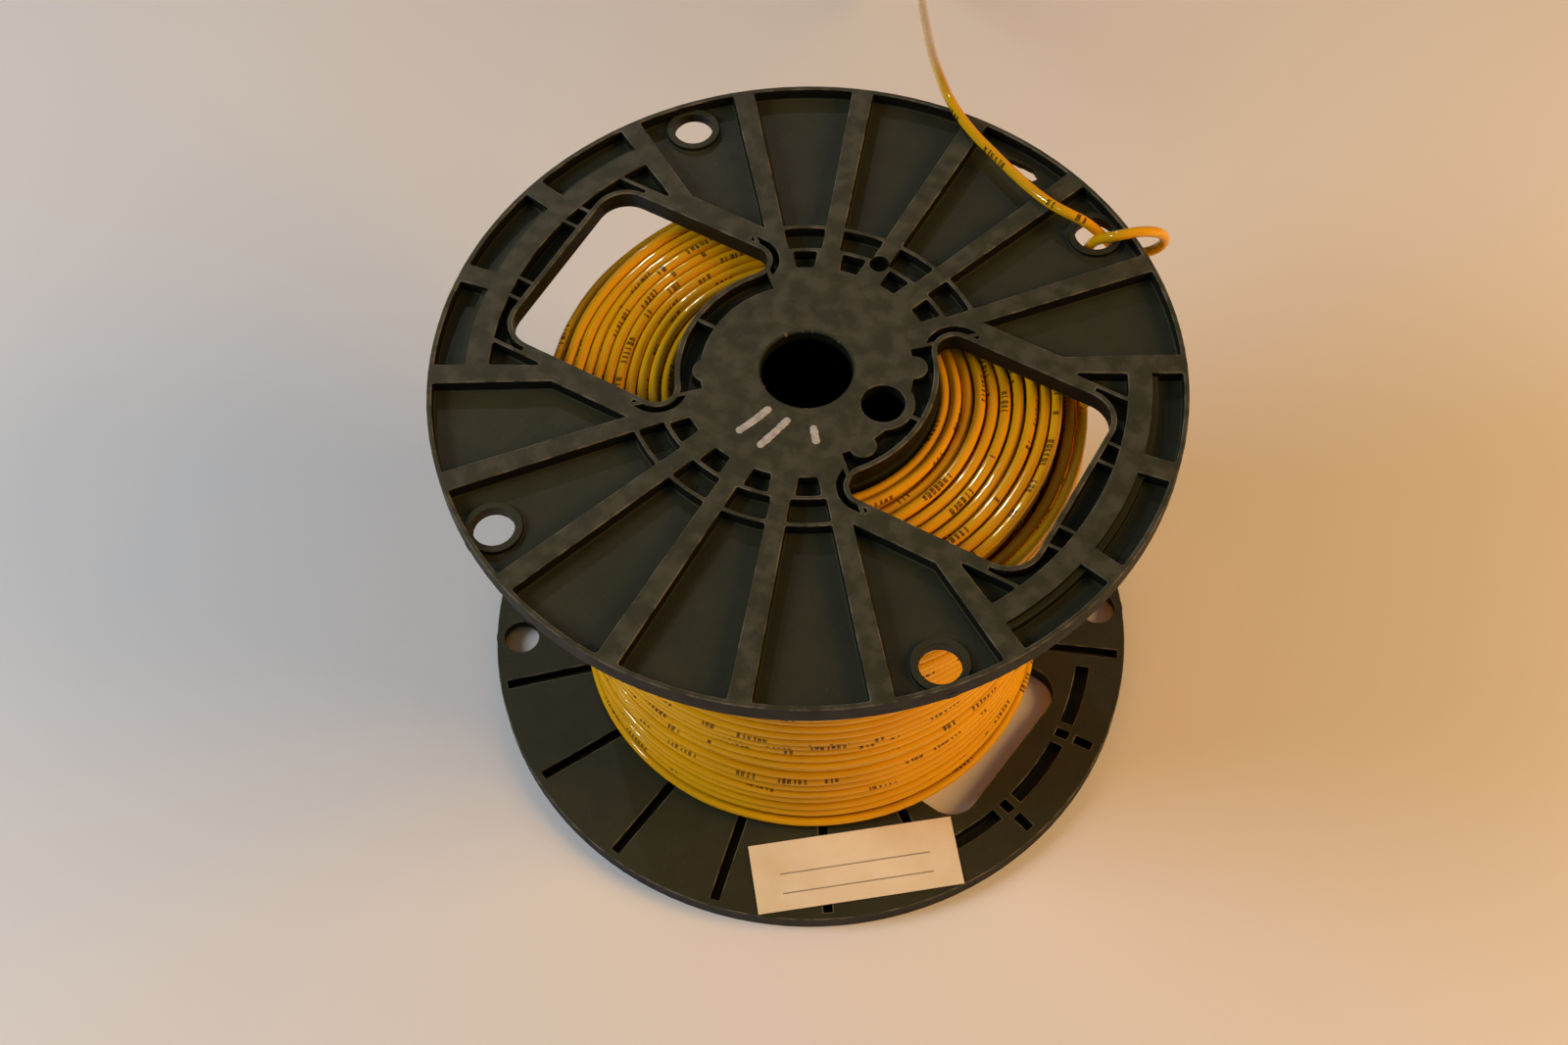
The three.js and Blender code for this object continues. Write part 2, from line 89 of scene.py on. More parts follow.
WIRE_DIAMETER = 2.4 * MM
WIRE_RADIUS = WIRE_DIAMETER / 2

# ---- Small helpers ----

# The kinds of node that are used most
MATH = "ShaderNodeMath"
MIX = "ShaderNodeMix"
NOISE = "ShaderNodeTexNoise"
RANGE = "ShaderNodeMapRange"
VECTORS = "ShaderNodeVectorMath"

ROUND_EDGES = 40 * DEGREE  # steeper edges than this stay sharp on a round piece
FLAT_EDGES = 50 * DEGREE  # and on a flat one


def linear(hex_colour):
    """An sRGB hex value as linear red, green, blue and alpha."""
    parts = [int(hex_colour[i:i + 2], 16) / 255 for i in (1, 3, 5)]
    return [c / 12.92 if c <= 0.04045 else ((c + 0.055) / 1.055) ** 2.4 for c in parts] + [1.0]


def feed(tree, node, inputs):
    """Fills a node's inputs, by name or in the order of the sockets that are in use.

    A value is a number, a hex colour, a name, a socket, or a node whose first output in use is meant.
    """
    if isinstance(inputs, dict):
        pairs = [(node.inputs[name], value) for name, value in inputs.items()]
    else:
        pairs = zip([socket for socket in node.inputs if socket.enabled], inputs)
    for socket, value in pairs:
        if isinstance(value, bpy.types.Node):
            value = next(output for output in value.outputs if output.enabled)
        if isinstance(value, bpy.types.NodeSocket):
            tree.links.new(value, socket)
        elif isinstance(value, str) and value.startswith("#"):
            socket.default_value = linear(value)
        else:
            socket.default_value = value


def add(tree, kind, inputs=(), **settings):
    """Adds a node with its settings and fills its inputs."""
    node = tree.nodes.new(kind)
    for name, value in settings.items():
        setattr(node, name, value)
    feed(tree, node, inputs)
    return node


def place_mesh(name, mesh):
    piece = bpy.data.objects.new(name, mesh)
    bpy.context.scene.collection.objects.link(piece)
    return piece


def evaluated_mesh(piece):
    """The piece's mesh with its modifiers applied."""
    return bpy.data.meshes.new_from_object(piece.evaluated_get(bpy.context.evaluated_depsgraph_get()))


def smooth(mesh, sharp_angle):
    mesh.shade_smooth()
    mesh.set_sharp_from_angle(angle=sharp_angle)


def dress(piece, material, slot, *nodes):
    """Gives a finished piece its material and body, and hides the nodes that it stands for."""
    piece.data.materials.clear()
    piece.data.materials.append(material)
    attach(piece, BODY)
    if nodes:
        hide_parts(*nodes)
    return piece


# ---- Camera ----

CAMERA_PLACE = (132.1 * MM, -228.8 * MM, 486.3 * MM)
CAMERA_TURN = 31.303 * DEGREE  # about the spool's axis, from looking along +Y
CAMERA_TILT = 31.51 * DEGREE  # from looking straight down
CAMERA_ROLL = -1.839 * DEGREE
SENSOR_WIDTH = 36.0  # millimetres
PHOTO_WIDTH = 1600  # pixels
FOCAL_LENGTH = 2122.3  # pixels

camera_data = bpy.data.cameras.new("camera")
camera_data.sensor_fit = "HORIZONTAL"
camera_data.sensor_width = SENSOR_WIDTH
camera_data.lens = FOCAL_LENGTH / PHOTO_WIDTH * SENSOR_WIDTH
camera = bpy.data.objects.new("camera", camera_data)
bpy.context.scene.collection.objects.link(camera)
camera.matrix_world = (
    Matrix.Translation(CAMERA_PLACE) @ Matrix.Rotation(CAMERA_TURN, 4, "Z")
    @ Matrix.Rotation(CAMERA_TILT, 4, "X") @ Matrix.Rotation(CAMERA_ROLL, 4, "Z"))
bpy.context.scene.camera = camera

# ---- Loose wire ----

ROUTE = [  # out of the winding, up through a rim hole, round the rim, through the hole again and down
    (0.05507, 0.02601, 0.1112), (0.053, 0.0306, 0.111), (0.0501, 0.0364, 0.1104), (0.0468, 0.0422, 0.1093),
    (0.0429, 0.0495, 0.1078), (0.0399, 0.0553, 0.1067), (0.0378, 0.0595, 0.1072), (0.037, 0.0623, 0.1098),
    (0.0374, 0.0636, 0.113), (0.0385, 0.0637, 0.1162), (0.0401, 0.0629, 0.1192), (0.0422, 0.0624, 0.1217),
    (0.0449, 0.0633, 0.1232), (0.0474, 0.0655, 0.1233), (0.0497, 0.0683, 0.1219), (0.0513, 0.0709, 0.1195),
    (0.0521, 0.0728, 0.1164), (0.0518, 0.0736, 0.1132), (0.0503, 0.0735, 0.1104), (0.0479, 0.0727, 0.1085),
    (0.0452, 0.0715, 0.1082), (0.0427, 0.0701, 0.1096), (0.0408, 0.0688, 0.112), (0.0393, 0.0676, 0.1148),
    (0.0374, 0.0664, 0.1177), (0.0347, 0.0653, 0.1202), (0.0312, 0.0648, 0.1212), (0.0266, 0.0658, 0.1207),
    (0.0199, 0.068, 0.1205), (0.0142, 0.0704, 0.1205), (0.0082, 0.0732, 0.1205), (0.0023, 0.076, 0.1205),
    (-0.0027, 0.079, 0.1205), (-0.0083, 0.0833, 0.1203), (-0.0157, 0.0929, 0.1156), (-0.0267, 0.1112, 0.1015),
    (-0.04, 0.1358, 0.081), (-0.0523, 0.1588, 0.062), (-0.0664, 0.1855, 0.04), (-0.079, 0.2065, 0.022),
    (-0.09, 0.221, 0.0085), (-0.0975, 0.226, 0.0024), (-0.105, 0.2265, 0.00125), (-0.113, 0.2225, 0.00125),
    (-0.119, 0.216, 0.00125),
]
CURVE_STEPS = 24  # between two points that a curve passes
PATH_PITCH = 1.2 * MM
WIRE_SIDES = 16
TABLE_GAP = 0.05 * MM  # under the wire where it lies on the table


def curve_through(points):
    """Centripetal Catmull-Rom curve through the points, as a fine line of points."""
    points = np.array(points)
    ends = [2 * points[0] - points[1]], [2 * points[-1] - points[-2]]
    padded = np.concatenate([ends[0], points, ends[1]])
    line = []
    for p0, p1, p2, p3 in zip(padded, padded[1:], padded[2:], padded[3:]):
        d0, d1, d2 = (np.linalg.norm(b - a) ** 0.5 for a, b in ((p0, p1), (p1, p2), (p2, p3)))
        leave = ((p1 - p0) / d0 - (p2 - p0) / (d0 + d1) + (p2 - p1) / d1) * d1
        arrive = ((p2 - p1) / d1 - (p3 - p1) / (d1 + d2) + (p3 - p2) / d2) * d1
        for t in np.arange(CURVE_STEPS) / CURVE_STEPS:
            line.append(p1 + leave * t + (3 * (p2 - p1) - 2 * leave - arrive) * t ** 2
                        + (2 * (p1 - p2) + leave + arrive) * t ** 3)
    return np.array(line + [points[-1]])


def spaced(line, pitch):
    """Points at an even pitch along a line."""
    lengths = np.concatenate([[0], np.cumsum(np.linalg.norm(np.diff(line, axis=0), axis=1))])
    places = np.linspace(0, lengths[-1], round(lengths[-1] / pitch) + 1)
    return np.stack([np.interp(places, lengths, line[:, k]) for k in range(3)], axis=1)


def tube(name, path, radii, sides):
    """A closed tube along a path, with the place round and along it in the attribute "wire"."""
    along = np.gradient(path, axis=0)
    along /= np.linalg.norm(along, axis=1)[:, None]
    side = np.cross(along[0], [0, 0, 1])
    vertices, places = [], []
    lengths = np.concatenate([[0], np.cumsum(np.linalg.norm(np.diff(path, axis=0), axis=1))])
    for centre, direction, radius, length in zip(path, along, radii, lengths):
        side = side - direction * side.dot(direction)
        side /= np.linalg.norm(side)
        other = np.cross(direction, side)
        for k in range(sides):
            angle = 2 * math.pi * k / sides
            vertices.append(centre + radius * (math.cos(angle) * side + math.sin(angle) * other))
            places.append((math.cos(angle), math.sin(angle), length))
    faces = []
    for i in range(len(path) - 1):
        for k in range(sides):
            a, b = i * sides + k, i * sides + (k + 1) % sides
            faces.append((a, b, b + sides, a + sides))
    last = (len(path) - 1) * sides
    faces.append(range(sides)[::-1])
    faces.append(range(last, last + sides))
    mesh = bpy.data.meshes.new(name)
    mesh.from_pydata(vertices, [], faces)
    attribute = mesh.attributes.new("wire", "FLOAT_VECTOR", "POINT")
    attribute.data.foreach_set("vector", np.array(places, np.float32).ravel())
    smooth(mesh, ROUND_EDGES)
    return place_mesh(name, mesh)


loose_path = spaced(curve_through(ROUTE), PATH_PITCH)
loose_path[:, 2] = np.maximum(loose_path[:, 2], WIRE_RADIUS + TABLE_GAP)
loose_wire = tube("loose_wire", loose_path, [WIRE_RADIUS] * len(loose_path), WIRE_SIDES)

STRAND_DIAMETER = 0.29 * MM
STRAND_RADIUS = STRAND_DIAMETER / 2 * 0.97  # a little less, so that neighbours don't touch
STRAND_SIDES = 8
STRAND_PROUD = (0.45 * MM, 0.85 * MM)  # how far the cut strands stand out of the jacket
STRAND_RINGS = ((0, 1), (1, 6), (2, 12))  # places from the middle, and strands at each
STRAND_COUNT = sum(number for _, number in STRAND_RINGS)
STRAND_SHUFFLE = 7  # mixes the long strands among the short ones


def cut_strands():
    """The conductor's strands at the wire's cut end."""
    end, before = loose_path[-1], loose_path[-3]
    direction = Vector(end - before).normalized()
    side = direction.cross(Vector((0, 0, 1))).normalized()
    other = direction.cross(side)
    strands = bmesh.new()
    count = 0
    for ring, number in STRAND_RINGS:
        for k in range(number):
            angle = 2 * math.pi * k / number + ring
            share = (count * STRAND_SHUFFLE % STRAND_COUNT) / (STRAND_COUNT - 1)
            proud = STRAND_PROUD[0] + (STRAND_PROUD[1] - STRAND_PROUD[0]) * share
            middle = side * math.cos(angle) + other * math.sin(angle)
            centre = Vector(end) + middle * (ring * STRAND_DIAMETER) + direction * (proud - WIRE_RADIUS) / 2
            turn = direction.to_track_quat("Z", "Y").to_matrix().to_4x4()
            bmesh.ops.create_cone(
                strands, cap_ends=True, segments=STRAND_SIDES, radius1=STRAND_RADIUS, radius2=STRAND_RADIUS,
                depth=proud + WIRE_RADIUS, matrix=Matrix.Translation(centre) @ turn)
            count += 1
    mesh = bpy.data.meshes.new("copper_strands")
    strands.to_mesh(mesh)
    strands.free()
    smooth(mesh, ROUND_EDGES)
    return place_mesh("copper_strands", mesh)


copper_strands = cut_strands()

# ---- Winding ----

LAYERS = 12
OUTER_TURNS = 29
SECOND_LAYER_TURNS = 40
STEPS_PER_TURN = 96
RING_SIDES = 12
LAYER_PITCH = 2.44 * MM
OUTER_SLACK = 4 * MM  # how far the last turns hang out
SLACK_SIDE = -55 * DEGREE
WINDING_INSET = 0.2 * MM  # keeps the uneven turns inside the winding's radius
OUTER_TURN_RADIUS = WINDING_RADIUS - WIRE_RADIUS - WINDING_INSET
LAST_TURN = Vector(ROUTE[0])  # the outer layer ends where the loose wire starts

# Bulge and spread vary slowly in space, so that neighbours keep their distance. Unevenness varies from turn
# to turn, and drop along the wire.
SPACE_WAVES = 28.0  # a metre
TURN_WAVES = 1.3  # a turn
DROP_WAVES = 5.0  # a metre of wire
CALM_END = 0.4  # turns at the end over which bulge, spread and unevenness die away
SLACK_EDGE = (-0.3, 0.1)  # cosines of the angle from the slack's side, between which it grows
FOOT_TURNS = (0.6, 1.3)  # turns over which the first turn's foot goes
# Added to the seed, so that no two noises are alike
NOISE_SHIFTS = {"bulge": 0.0, "drop": 3.0, "spread": 7.0, "outward": 11.0, "upward": 17.0}

# The tree's inputs, and what they are where a winding doesn't give them
WINDING_SIZES = {
    "Turns": 10.0, "Start Radius": 0.03, "End Radius": 0.03, "Low": 0.0, "High": 0.1, "Turn": 0.0,
    "Wire Diameter": WIRE_DIAMETER, "Bulge": 0.0, "Drop": 0.0, "Spread": 0.0, "Unevenness": 0.0,
    "Slack": 0.0, "Slack Side": 0.0, "Slack Start": 0.0, "Slack Full": 1.0, "Foot": 0.0, "Seed": 0.0}


def winding_tree():
    """Wire wound round the Z axis, from one radius and height to another.

    Along it grows a slack that hangs out on one side.
    """
    tree = bpy.data.node_groups.new("winding", "GeometryNodeTree")
    panel = tree.interface
    for name, value in WINDING_SIZES.items():
        panel.new_socket(name, in_out="INPUT", socket_type="NodeSocketFloat").default_value = value
    panel.new_socket("Material", in_out="INPUT", socket_type="NodeSocketMaterial")
    panel.new_socket("Geometry", in_out="OUTPUT", socket_type="NodeSocketGeometry")
    given = tree.nodes.new("NodeGroupInput").outputs

    spiral = add(tree, "GeometryNodeCurveSpiral", {
        "Resolution": STEPS_PER_TURN, "Rotations": given["Turns"], "Start Radius": given["Start Radius"],
        "End Radius": given["End Radius"],
        "Height": add(tree, MATH, (given["High"], given["Low"]), operation="SUBTRACT")})
    turned = add(tree, "GeometryNodeTransform", {
        "Geometry": spiral,
        "Rotation": add(tree, "ShaderNodeCombineXYZ", {"Z": given["Turn"]}),
        "Translation": add(tree, "ShaderNodeCombineXYZ", {"Z": given["Low"]})})
    place = add(tree, "GeometryNodeInputPosition")
    along = add(tree, "GeometryNodeSplineParameter").outputs
    turns_done = add(tree, MATH, (along["Factor"], given["Turns"]), operation="MULTIPLY")
    turns_left = add(tree, MATH, (given["Turns"], turns_done), operation="SUBTRACT")
    calm = add(tree, RANGE, (turns_left, 0.0, CALM_END), interpolation_type="SMOOTHSTEP")

    def varied(amount, waves, shift, turns=None):
        """Noise about 0 of an amount, in space or from turn to turn, which dies away at the wire's end."""
        seed = add(tree, MATH, (given["Seed"], NOISE_SHIFTS[shift]), operation="ADD")
        if turns is None:
            noise = add(tree, NOISE, {"Vector": place, "W": seed, "Scale": waves, "Detail": 1.0},
                        noise_dimensions="4D")
        else:
            turned_to = add(tree, MATH, (seed, turns), operation="ADD")
            noise = add(tree, NOISE, {"W": turned_to, "Scale": waves, "Detail": 1.0}, noise_dimensions="1D")
        centred = add(tree, MATH, (noise, 0.5), operation="SUBTRACT")
        faded = add(tree, MATH, (centred, calm), operation="MULTIPLY")
        return add(tree, MATH, (faded, amount), operation="MULTIPLY")

    flat = add(tree, VECTORS, (place, (1.0, 1.0, 0.0)), operation="MULTIPLY")
    out = add(tree, VECTORS, (flat,), operation="NORMALIZE")
    slack_way = add(tree, "ShaderNodeCombineXYZ", {
        "X": add(tree, MATH, (given["Slack Side"],), operation="COSINE"),
        "Y": add(tree, MATH, (given["Slack Side"],), operation="SINE")})
    facing = add(tree, VECTORS, (out, slack_way), operation="DOT_PRODUCT")
    slack_round = add(tree, RANGE, (facing, *SLACK_EDGE), interpolation_type="SMOOTHSTEP")
    slack_along = add(tree, RANGE, (along["Factor"], given["Slack Start"], given["Slack Full"]),
                      interpolation_type="SMOOTHSTEP")
    slack = add(tree, MATH, (slack_round, slack_along), operation="MULTIPLY")
    first_turn = add(tree, RANGE, (turns_done, *FOOT_TURNS, 1.0, 0.0), interpolation_type="SMOOTHSTEP")

    outward = add(tree, MATH, (slack, given["Slack"]), operation="MULTIPLY")
    for more in (add(tree, MATH, (first_turn, given["Foot"]), operation="MULTIPLY"),
                 varied(given["Bulge"], SPACE_WAVES, "bulge"),
                 varied(given["Unevenness"], TURN_WAVES, "outward", turns_done)):
        outward = add(tree, MATH, (outward, more), operation="ADD")
    upward = add(tree, MATH, (
        varied(given["Spread"], SPACE_WAVES, "spread"),
        varied(given["Unevenness"], TURN_WAVES, "upward", turns_done)), operation="ADD")
    drop_seed = add(tree, MATH, (given["Seed"], NOISE_SHIFTS["drop"]), operation="ADD")
    drop_place = add(tree, MATH, (drop_seed, along["Length"]), operation="ADD")
    dropping = add(tree, NOISE, {"Scale": DROP_WAVES, "Detail": 1.0, "W": drop_place}, noise_dimensions="1D")
    drop = add(tree, MATH, (dropping, given["Drop"]), operation="MULTIPLY")
    upward = add(tree, MATH, (upward, drop), operation="SUBTRACT")
    moved = add(tree, VECTORS, (
        add(tree, VECTORS, (out, outward), operation="SCALE"),
        add(tree, "ShaderNodeCombineXYZ", {"Z": upward})), operation="ADD")
    laid = add(tree, "GeometryNodeSetPosition", {"Geometry": turned, "Offset": moved})

    kept_length = add(tree, "GeometryNodeCaptureAttribute", {"Geometry": laid}, domain="POINT")
    kept_length.capture_items.new("FLOAT", "Length")
    feed(tree, kept_length, {"Length": along["Length"]})
    ring = add(tree, "GeometryNodeCurvePrimitiveCircle", {
        "Resolution": RING_SIDES,
        "Radius": add(tree, MATH, (given["Wire Diameter"], 0.5), operation="MULTIPLY")})
    kept_side = add(tree, "GeometryNodeCaptureAttribute", {"Geometry": ring}, domain="POINT")
    kept_side.capture_items.new("VECTOR", "Side")
    feed(tree, kept_side, {
        "Side": add(tree, VECTORS, (add(tree, "GeometryNodeInputPosition"),), operation="NORMALIZE")})
    wire = add(tree, "GeometryNodeCurveToMesh", {
        "Curve": kept_length.outputs["Geometry"], "Profile Curve": kept_side.outputs["Geometry"],
        "Fill Caps": True})
    around = add(tree, "ShaderNodeSeparateXYZ", (kept_side.outputs["Side"],)).outputs
    stored = add(tree, "GeometryNodeStoreNamedAttribute", {"Geometry": wire, "Name": "wire"},
                 data_type="FLOAT_VECTOR", domain="POINT")
    feed(tree, stored, {"Value": add(tree, "ShaderNodeCombineXYZ", (
        around["X"], around["Y"], kept_length.outputs["Length"]))})
    smoothed = add(tree, "GeometryNodeSetShadeSmooth", {"Geometry": stored})
    painted = add(tree, "GeometryNodeSetMaterial", {"Geometry": smoothed, "Material": given["Material"]})
    realized = add(tree, "GeometryNodeRealizeInstances", {"Geometry": painted})
    add(tree, "NodeGroupOutput", {"Geometry": realized})
    return tree


def wound(name, material, **values):
    """A plain mesh of wound wire."""
    piece = place_mesh(name, bpy.data.meshes.new(name + "_seed"))
    modifier = piece.modifiers.new("winding", "NODES")
    modifier.node_group = WINDING
    sockets = {item.name: item.identifier for item in WINDING.interface.items_tree if item.in_out == "INPUT"}
    for key, value in values.items():
        modifier[sockets[key.replace("_", " ").title()]] = value
    modifier[sockets["Material"]] = material
    mesh = evaluated_mesh(piece)
    bpy.data.objects.remove(piece)
    mesh.name = name
    return place_mesh(name, mesh)


WINDING = winding_tree()

# ---- Materials ----

# A pattern's noise lies mostly between 0.3 and 0.7, and the ranges below cut it between two such values.
# The mould's grain and the paper's fibres are drawn coarser than the real ones, so that they show.

PRINT_PITCH = 1.25 * MM  # from one bar or tick of the wire's print to the next
PRINT_WANDER = 4.0  # waves a metre, of the side that the print lies on
PRINT_TURN = 6 * math.pi  # how far it wanders round the wire
WORD_WAVES = 0.13  # a bar, of where bars are printed
WORD_LEVEL = 0.53  # of that noise, above which they are


def shader(name, roughness, **sockets):
    """A new material, its node tree and its principled shader."""
    material = bpy.data.materials.new(name)
    material.use_nodes = True
    tree = material.node_tree
    principled = tree.nodes["Principled BSDF"]
    named = {key.replace("_", " "): value for key, value in sockets.items()}
    feed(tree, principled, {"Roughness": roughness, **named})
    return material, tree, principled


def pattern(tree, size, detail=2.0, stretch=(1.0, 1.0, 1.0), turn=0.0):
    """Noise on object coordinates whose blotches are about that size in metres."""
    place = add(tree, "ShaderNodeTexCoord").outputs["Object"]
    mapped = add(tree, "ShaderNodeMapping", {"Vector": place, "Scale": stretch, "Rotation": (0.0, 0.0, turn)})
    return add(tree, NOISE, {"Vector": mapped, "Scale": 1 / size, "Detail": detail})


def bumped(tree, principled, *layers):
    """Adds bumps of given depths in metres, each from a height between 0 and 1."""
    below = {}
    for height, depth in layers:
        bump = add(tree, "ShaderNodeBump", {"Height": height, "Distance": depth, "Strength": 1.0, **below})
        below = {"Normal": bump}
    feed(tree, principled, below)


def moulded_polystyrene():
    """High-impact polystyrene, injection moulded and coloured charcoal.

    It is matt where the mould was sparked, with flow clouds, blotches of dust and fine scratches. What faces
    up is painted lighter and the walls darker, as painted light and shade, and edges are rubbed pale with
    painted highlights.
    """
    material, tree, principled = shader("moulded_polystyrene", 0.6, IOR=1.52, Specular_IOR_Level=0.27)
    clouds = add(tree, RANGE, (pattern(tree, 9 * MM, 3.0), 0.38, 0.66))
    dust = add(tree, RANGE, (pattern(tree, 22 * MM, 5.0), 0.5, 0.78, 0.0, 0.2))
    specks = add(tree, RANGE, (pattern(tree, 0.9 * MM, 2.0), 0.67, 0.74, 0.0, 0.35))
    # Colour of what faces up: the flow clouds, dust and specks are the plastic's own, and the lighter level
    # is painted light
    upward_dust_and_painted_light = add(tree, MIX, (clouds, "#333422", "#373824"), data_type="RGBA")
    upward_dust_and_painted_light = add(tree, MIX, (dust, upward_dust_and_painted_light, "#42432F"), data_type="RGBA")
    upward_dust_and_painted_light = add(tree, MIX, (specks, upward_dust_and_painted_light, "#4E4C3E"), data_type="RGBA")
    # Painted light and shade: how far a face looks up picks the lighter colour over the near-black of the
    # walls
    normal = add(tree, "ShaderNodeTexCoord").outputs["Normal"]
    upward = add(tree, "ShaderNodeSeparateXYZ", (normal,)).outputs["Z"]
    painted_light_share = add(tree, RANGE, (upward, 0.2, 0.9))
    base = add(tree, MIX, (painted_light_share, "#15150E", upward_dust_and_painted_light), data_type="RGBA")
    # Rounded edges and rib tops turn pale: partly rubbed wear, partly painted highlight and painted light
    edge = add(tree, "ShaderNodeAttribute", attribute_name="edge").outputs["Fac"]
    patchy = add(tree, RANGE, (pattern(tree, 4 * MM, 3.0), 0.42, 0.62, 0.15, 0.9))
    wear_and_painted_highlight = add(tree, MATH, (edge, patchy), operation="MULTIPLY")
    base = add(tree, MIX, (wear_and_painted_highlight, base, "#736E5C"), data_type="RGBA")
    rough = add(tree, RANGE, (pattern(tree, 5 * MM, 4.0), 0.3, 0.7, 0.53, 0.65))
    feed(tree, principled, {"Base Color": base, "Roughness": rough})
    grain = pattern(tree, 0.35 * MM, 2.0)
    scratch_a = add(tree, RANGE, (pattern(tree, 2.5 * MM, 1.0, (1.0, 14.0, 1.0), 0.5), 0.66, 0.72))
    scratch_b = add(tree, RANGE, (pattern(tree, 2.5 * MM, 1.0, (14.0, 1.0, 1.0), 0.2), 0.67, 0.72))
    scratches = add(tree, MATH, (scratch_a, scratch_b), operation="MAXIMUM")
    waves = pattern(tree, 14 * MM, 1.0)
    bumped(tree, principled, (grain, 0.02 * MM), (scratches, -0.02 * MM), (waves, 0.25 * MM))
    return material


def nylon_jacket():
    """Clear nylon skin over yellow PVC, extruded: a wet gloss over a slightly wavy wire.

    Dark-brown ink lies in plain bars and ticks along one side, which wanders round the wire as it twists.
    """
    material, tree, principled = shader("nylon_jacket", 0.09, IOR=1.5, Specular_IOR_Level=0.45)
    on_wire = add(tree, "ShaderNodeAttribute", attribute_name="wire").outputs["Vector"]
    place = add(tree, "ShaderNodeSeparateXYZ", (on_wire,)).outputs
    along = place["Z"]
    twist = add(tree, NOISE, {"W": along, "Scale": PRINT_WANDER, "Detail": 0.0}, noise_dimensions="1D")
    angle = add(tree, MATH, (twist, PRINT_TURN), operation="MULTIPLY")
    across, beside = (
        add(tree, MATH, (place[axis], add(tree, MATH, (angle,), operation=part)), operation="MULTIPLY")
        for axis, part in (("X", "COSINE"), ("Y", "SINE")))
    facing = add(tree, MATH, (across, beside), operation="ADD")
    step = add(tree, MATH, (along, PRINT_PITCH), operation="DIVIDE")
    cell = add(tree, MATH, (step,), operation="FLOOR")
    within = add(tree, MATH, (step,), operation="FRACT")
    half_on = add(tree, MATH, (cell, 0.5), operation="ADD")
    first, second = (
        add(tree, "ShaderNodeTexWhiteNoise", (seed,), noise_dimensions="1D").outputs["Value"]
        for seed in (cell, half_on))
    length = add(tree, RANGE, (first, 0.0, 1.0, 0.3, 0.85))
    bar = add(tree, MATH, (within, length), operation="LESS_THAN")
    reach = add(tree, RANGE, (second, 0.0, 1.0, 0.7, 0.82))
    band = add(tree, MATH, (facing, reach), operation="GREATER_THAN")
    words = add(tree, NOISE, {"W": cell, "Scale": WORD_WAVES, "Detail": 1.0}, noise_dimensions="1D")
    written = add(tree, MATH, (words, WORD_LEVEL), operation="GREATER_THAN")
    worn = add(tree, RANGE, (pattern(tree, 0.5 * MM, 2.0), 0.3, 0.6, 0.55, 0.95))
    ink = add(tree, MATH, (bar, band), operation="MULTIPLY")
    ink = add(tree, MATH, (ink, written), operation="MULTIPLY")
    ink = add(tree, MATH, (ink, worn), operation="MULTIPLY")
    tone = add(tree, RANGE, (pattern(tree, 16 * MM, 2.0), 0.3, 0.7))
    base = add(tree, MIX, (tone, "#E4A600", "#EDB200"), data_type="RGBA")
    base = add(tree, MIX, (ink, base, "#4A2C08"), data_type="RGBA")
    feed(tree, principled, {"Base Color": base})
    bumped(tree, principled, (pattern(tree, 6 * MM, 1.0), 0.15 * MM))
    return material


def annealed_copper():
    """Bare annealed copper strands, drawn and freshly cut: salmon metal with bright cut faces."""
    material, tree, principled = shader("annealed_copper", 0.3, Metallic=1.0)
    tint = add(tree, RANGE, (pattern(tree, 0.3 * MM, 2.0), 0.3, 0.7))
    feed(tree, principled, {"Base Color": add(tree, MIX, (tint, "#C98A66", "#DFA27C"), data_type="RGBA")})
    return material


def label_paper():
    """Uncoated white label stock, yellowed a little.

    It is matt, with faint fibres and two ruled lines in grey ink.
    """
    material, tree, principled = shader("label_paper", 0.82)
    fibres = add(tree, RANGE, (pattern(tree, 0.5 * MM, 3.0), 0.3, 0.7))
    stain = add(tree, RANGE, (pattern(tree, 12 * MM, 3.0), 0.35, 0.75))
    base = add(tree, MIX, (fibres, "#F2E6C6", "#F5EBCF"), data_type="RGBA")
    base = add(tree, MIX, (stain, base, "#E8D8B2"), data_type="RGBA")
    ruled = add(tree, "ShaderNodeAttribute", attribute_name="ruled").outputs["Fac"]
    ink = add(tree, MATH, (ruled, 0.75), operation="MULTIPLY")
    base = add(tree, MIX, (ink, base, "#6E6350"), data_type="RGBA")
    feed(tree, principled, {"Base Color": base})
    bumped(tree, principled, (pattern(tree, 0.4 * MM, 2.0), 0.01 * MM))
    return material


def marker_paint():
    """Opaque white paint from a felt-tipped marker: satin, and thin in patches."""
    material, tree, principled = shader("marker_paint", 0.5)
    thin = add(tree, RANGE, (pattern(tree, 1.2 * MM, 3.0), 0.35, 0.7))
    feed(tree, principled, {"Base Color": add(tree, MIX, (thin, "#C9C5BC", "#A7A399"), data_type="RGBA")})
    bumped(tree, principled, (pattern(tree, 0.5 * MM, 2.0), 0.03 * MM))
    return material


PLASTIC = moulded_polystyrene()
JACKET = nylon_jacket()
COPPER = annealed_copper()
PAPER = label_paper()
PAINT = marker_paint()

# ---- Flanges: the inner face is at z = 0 and the ribs stand up from it ----

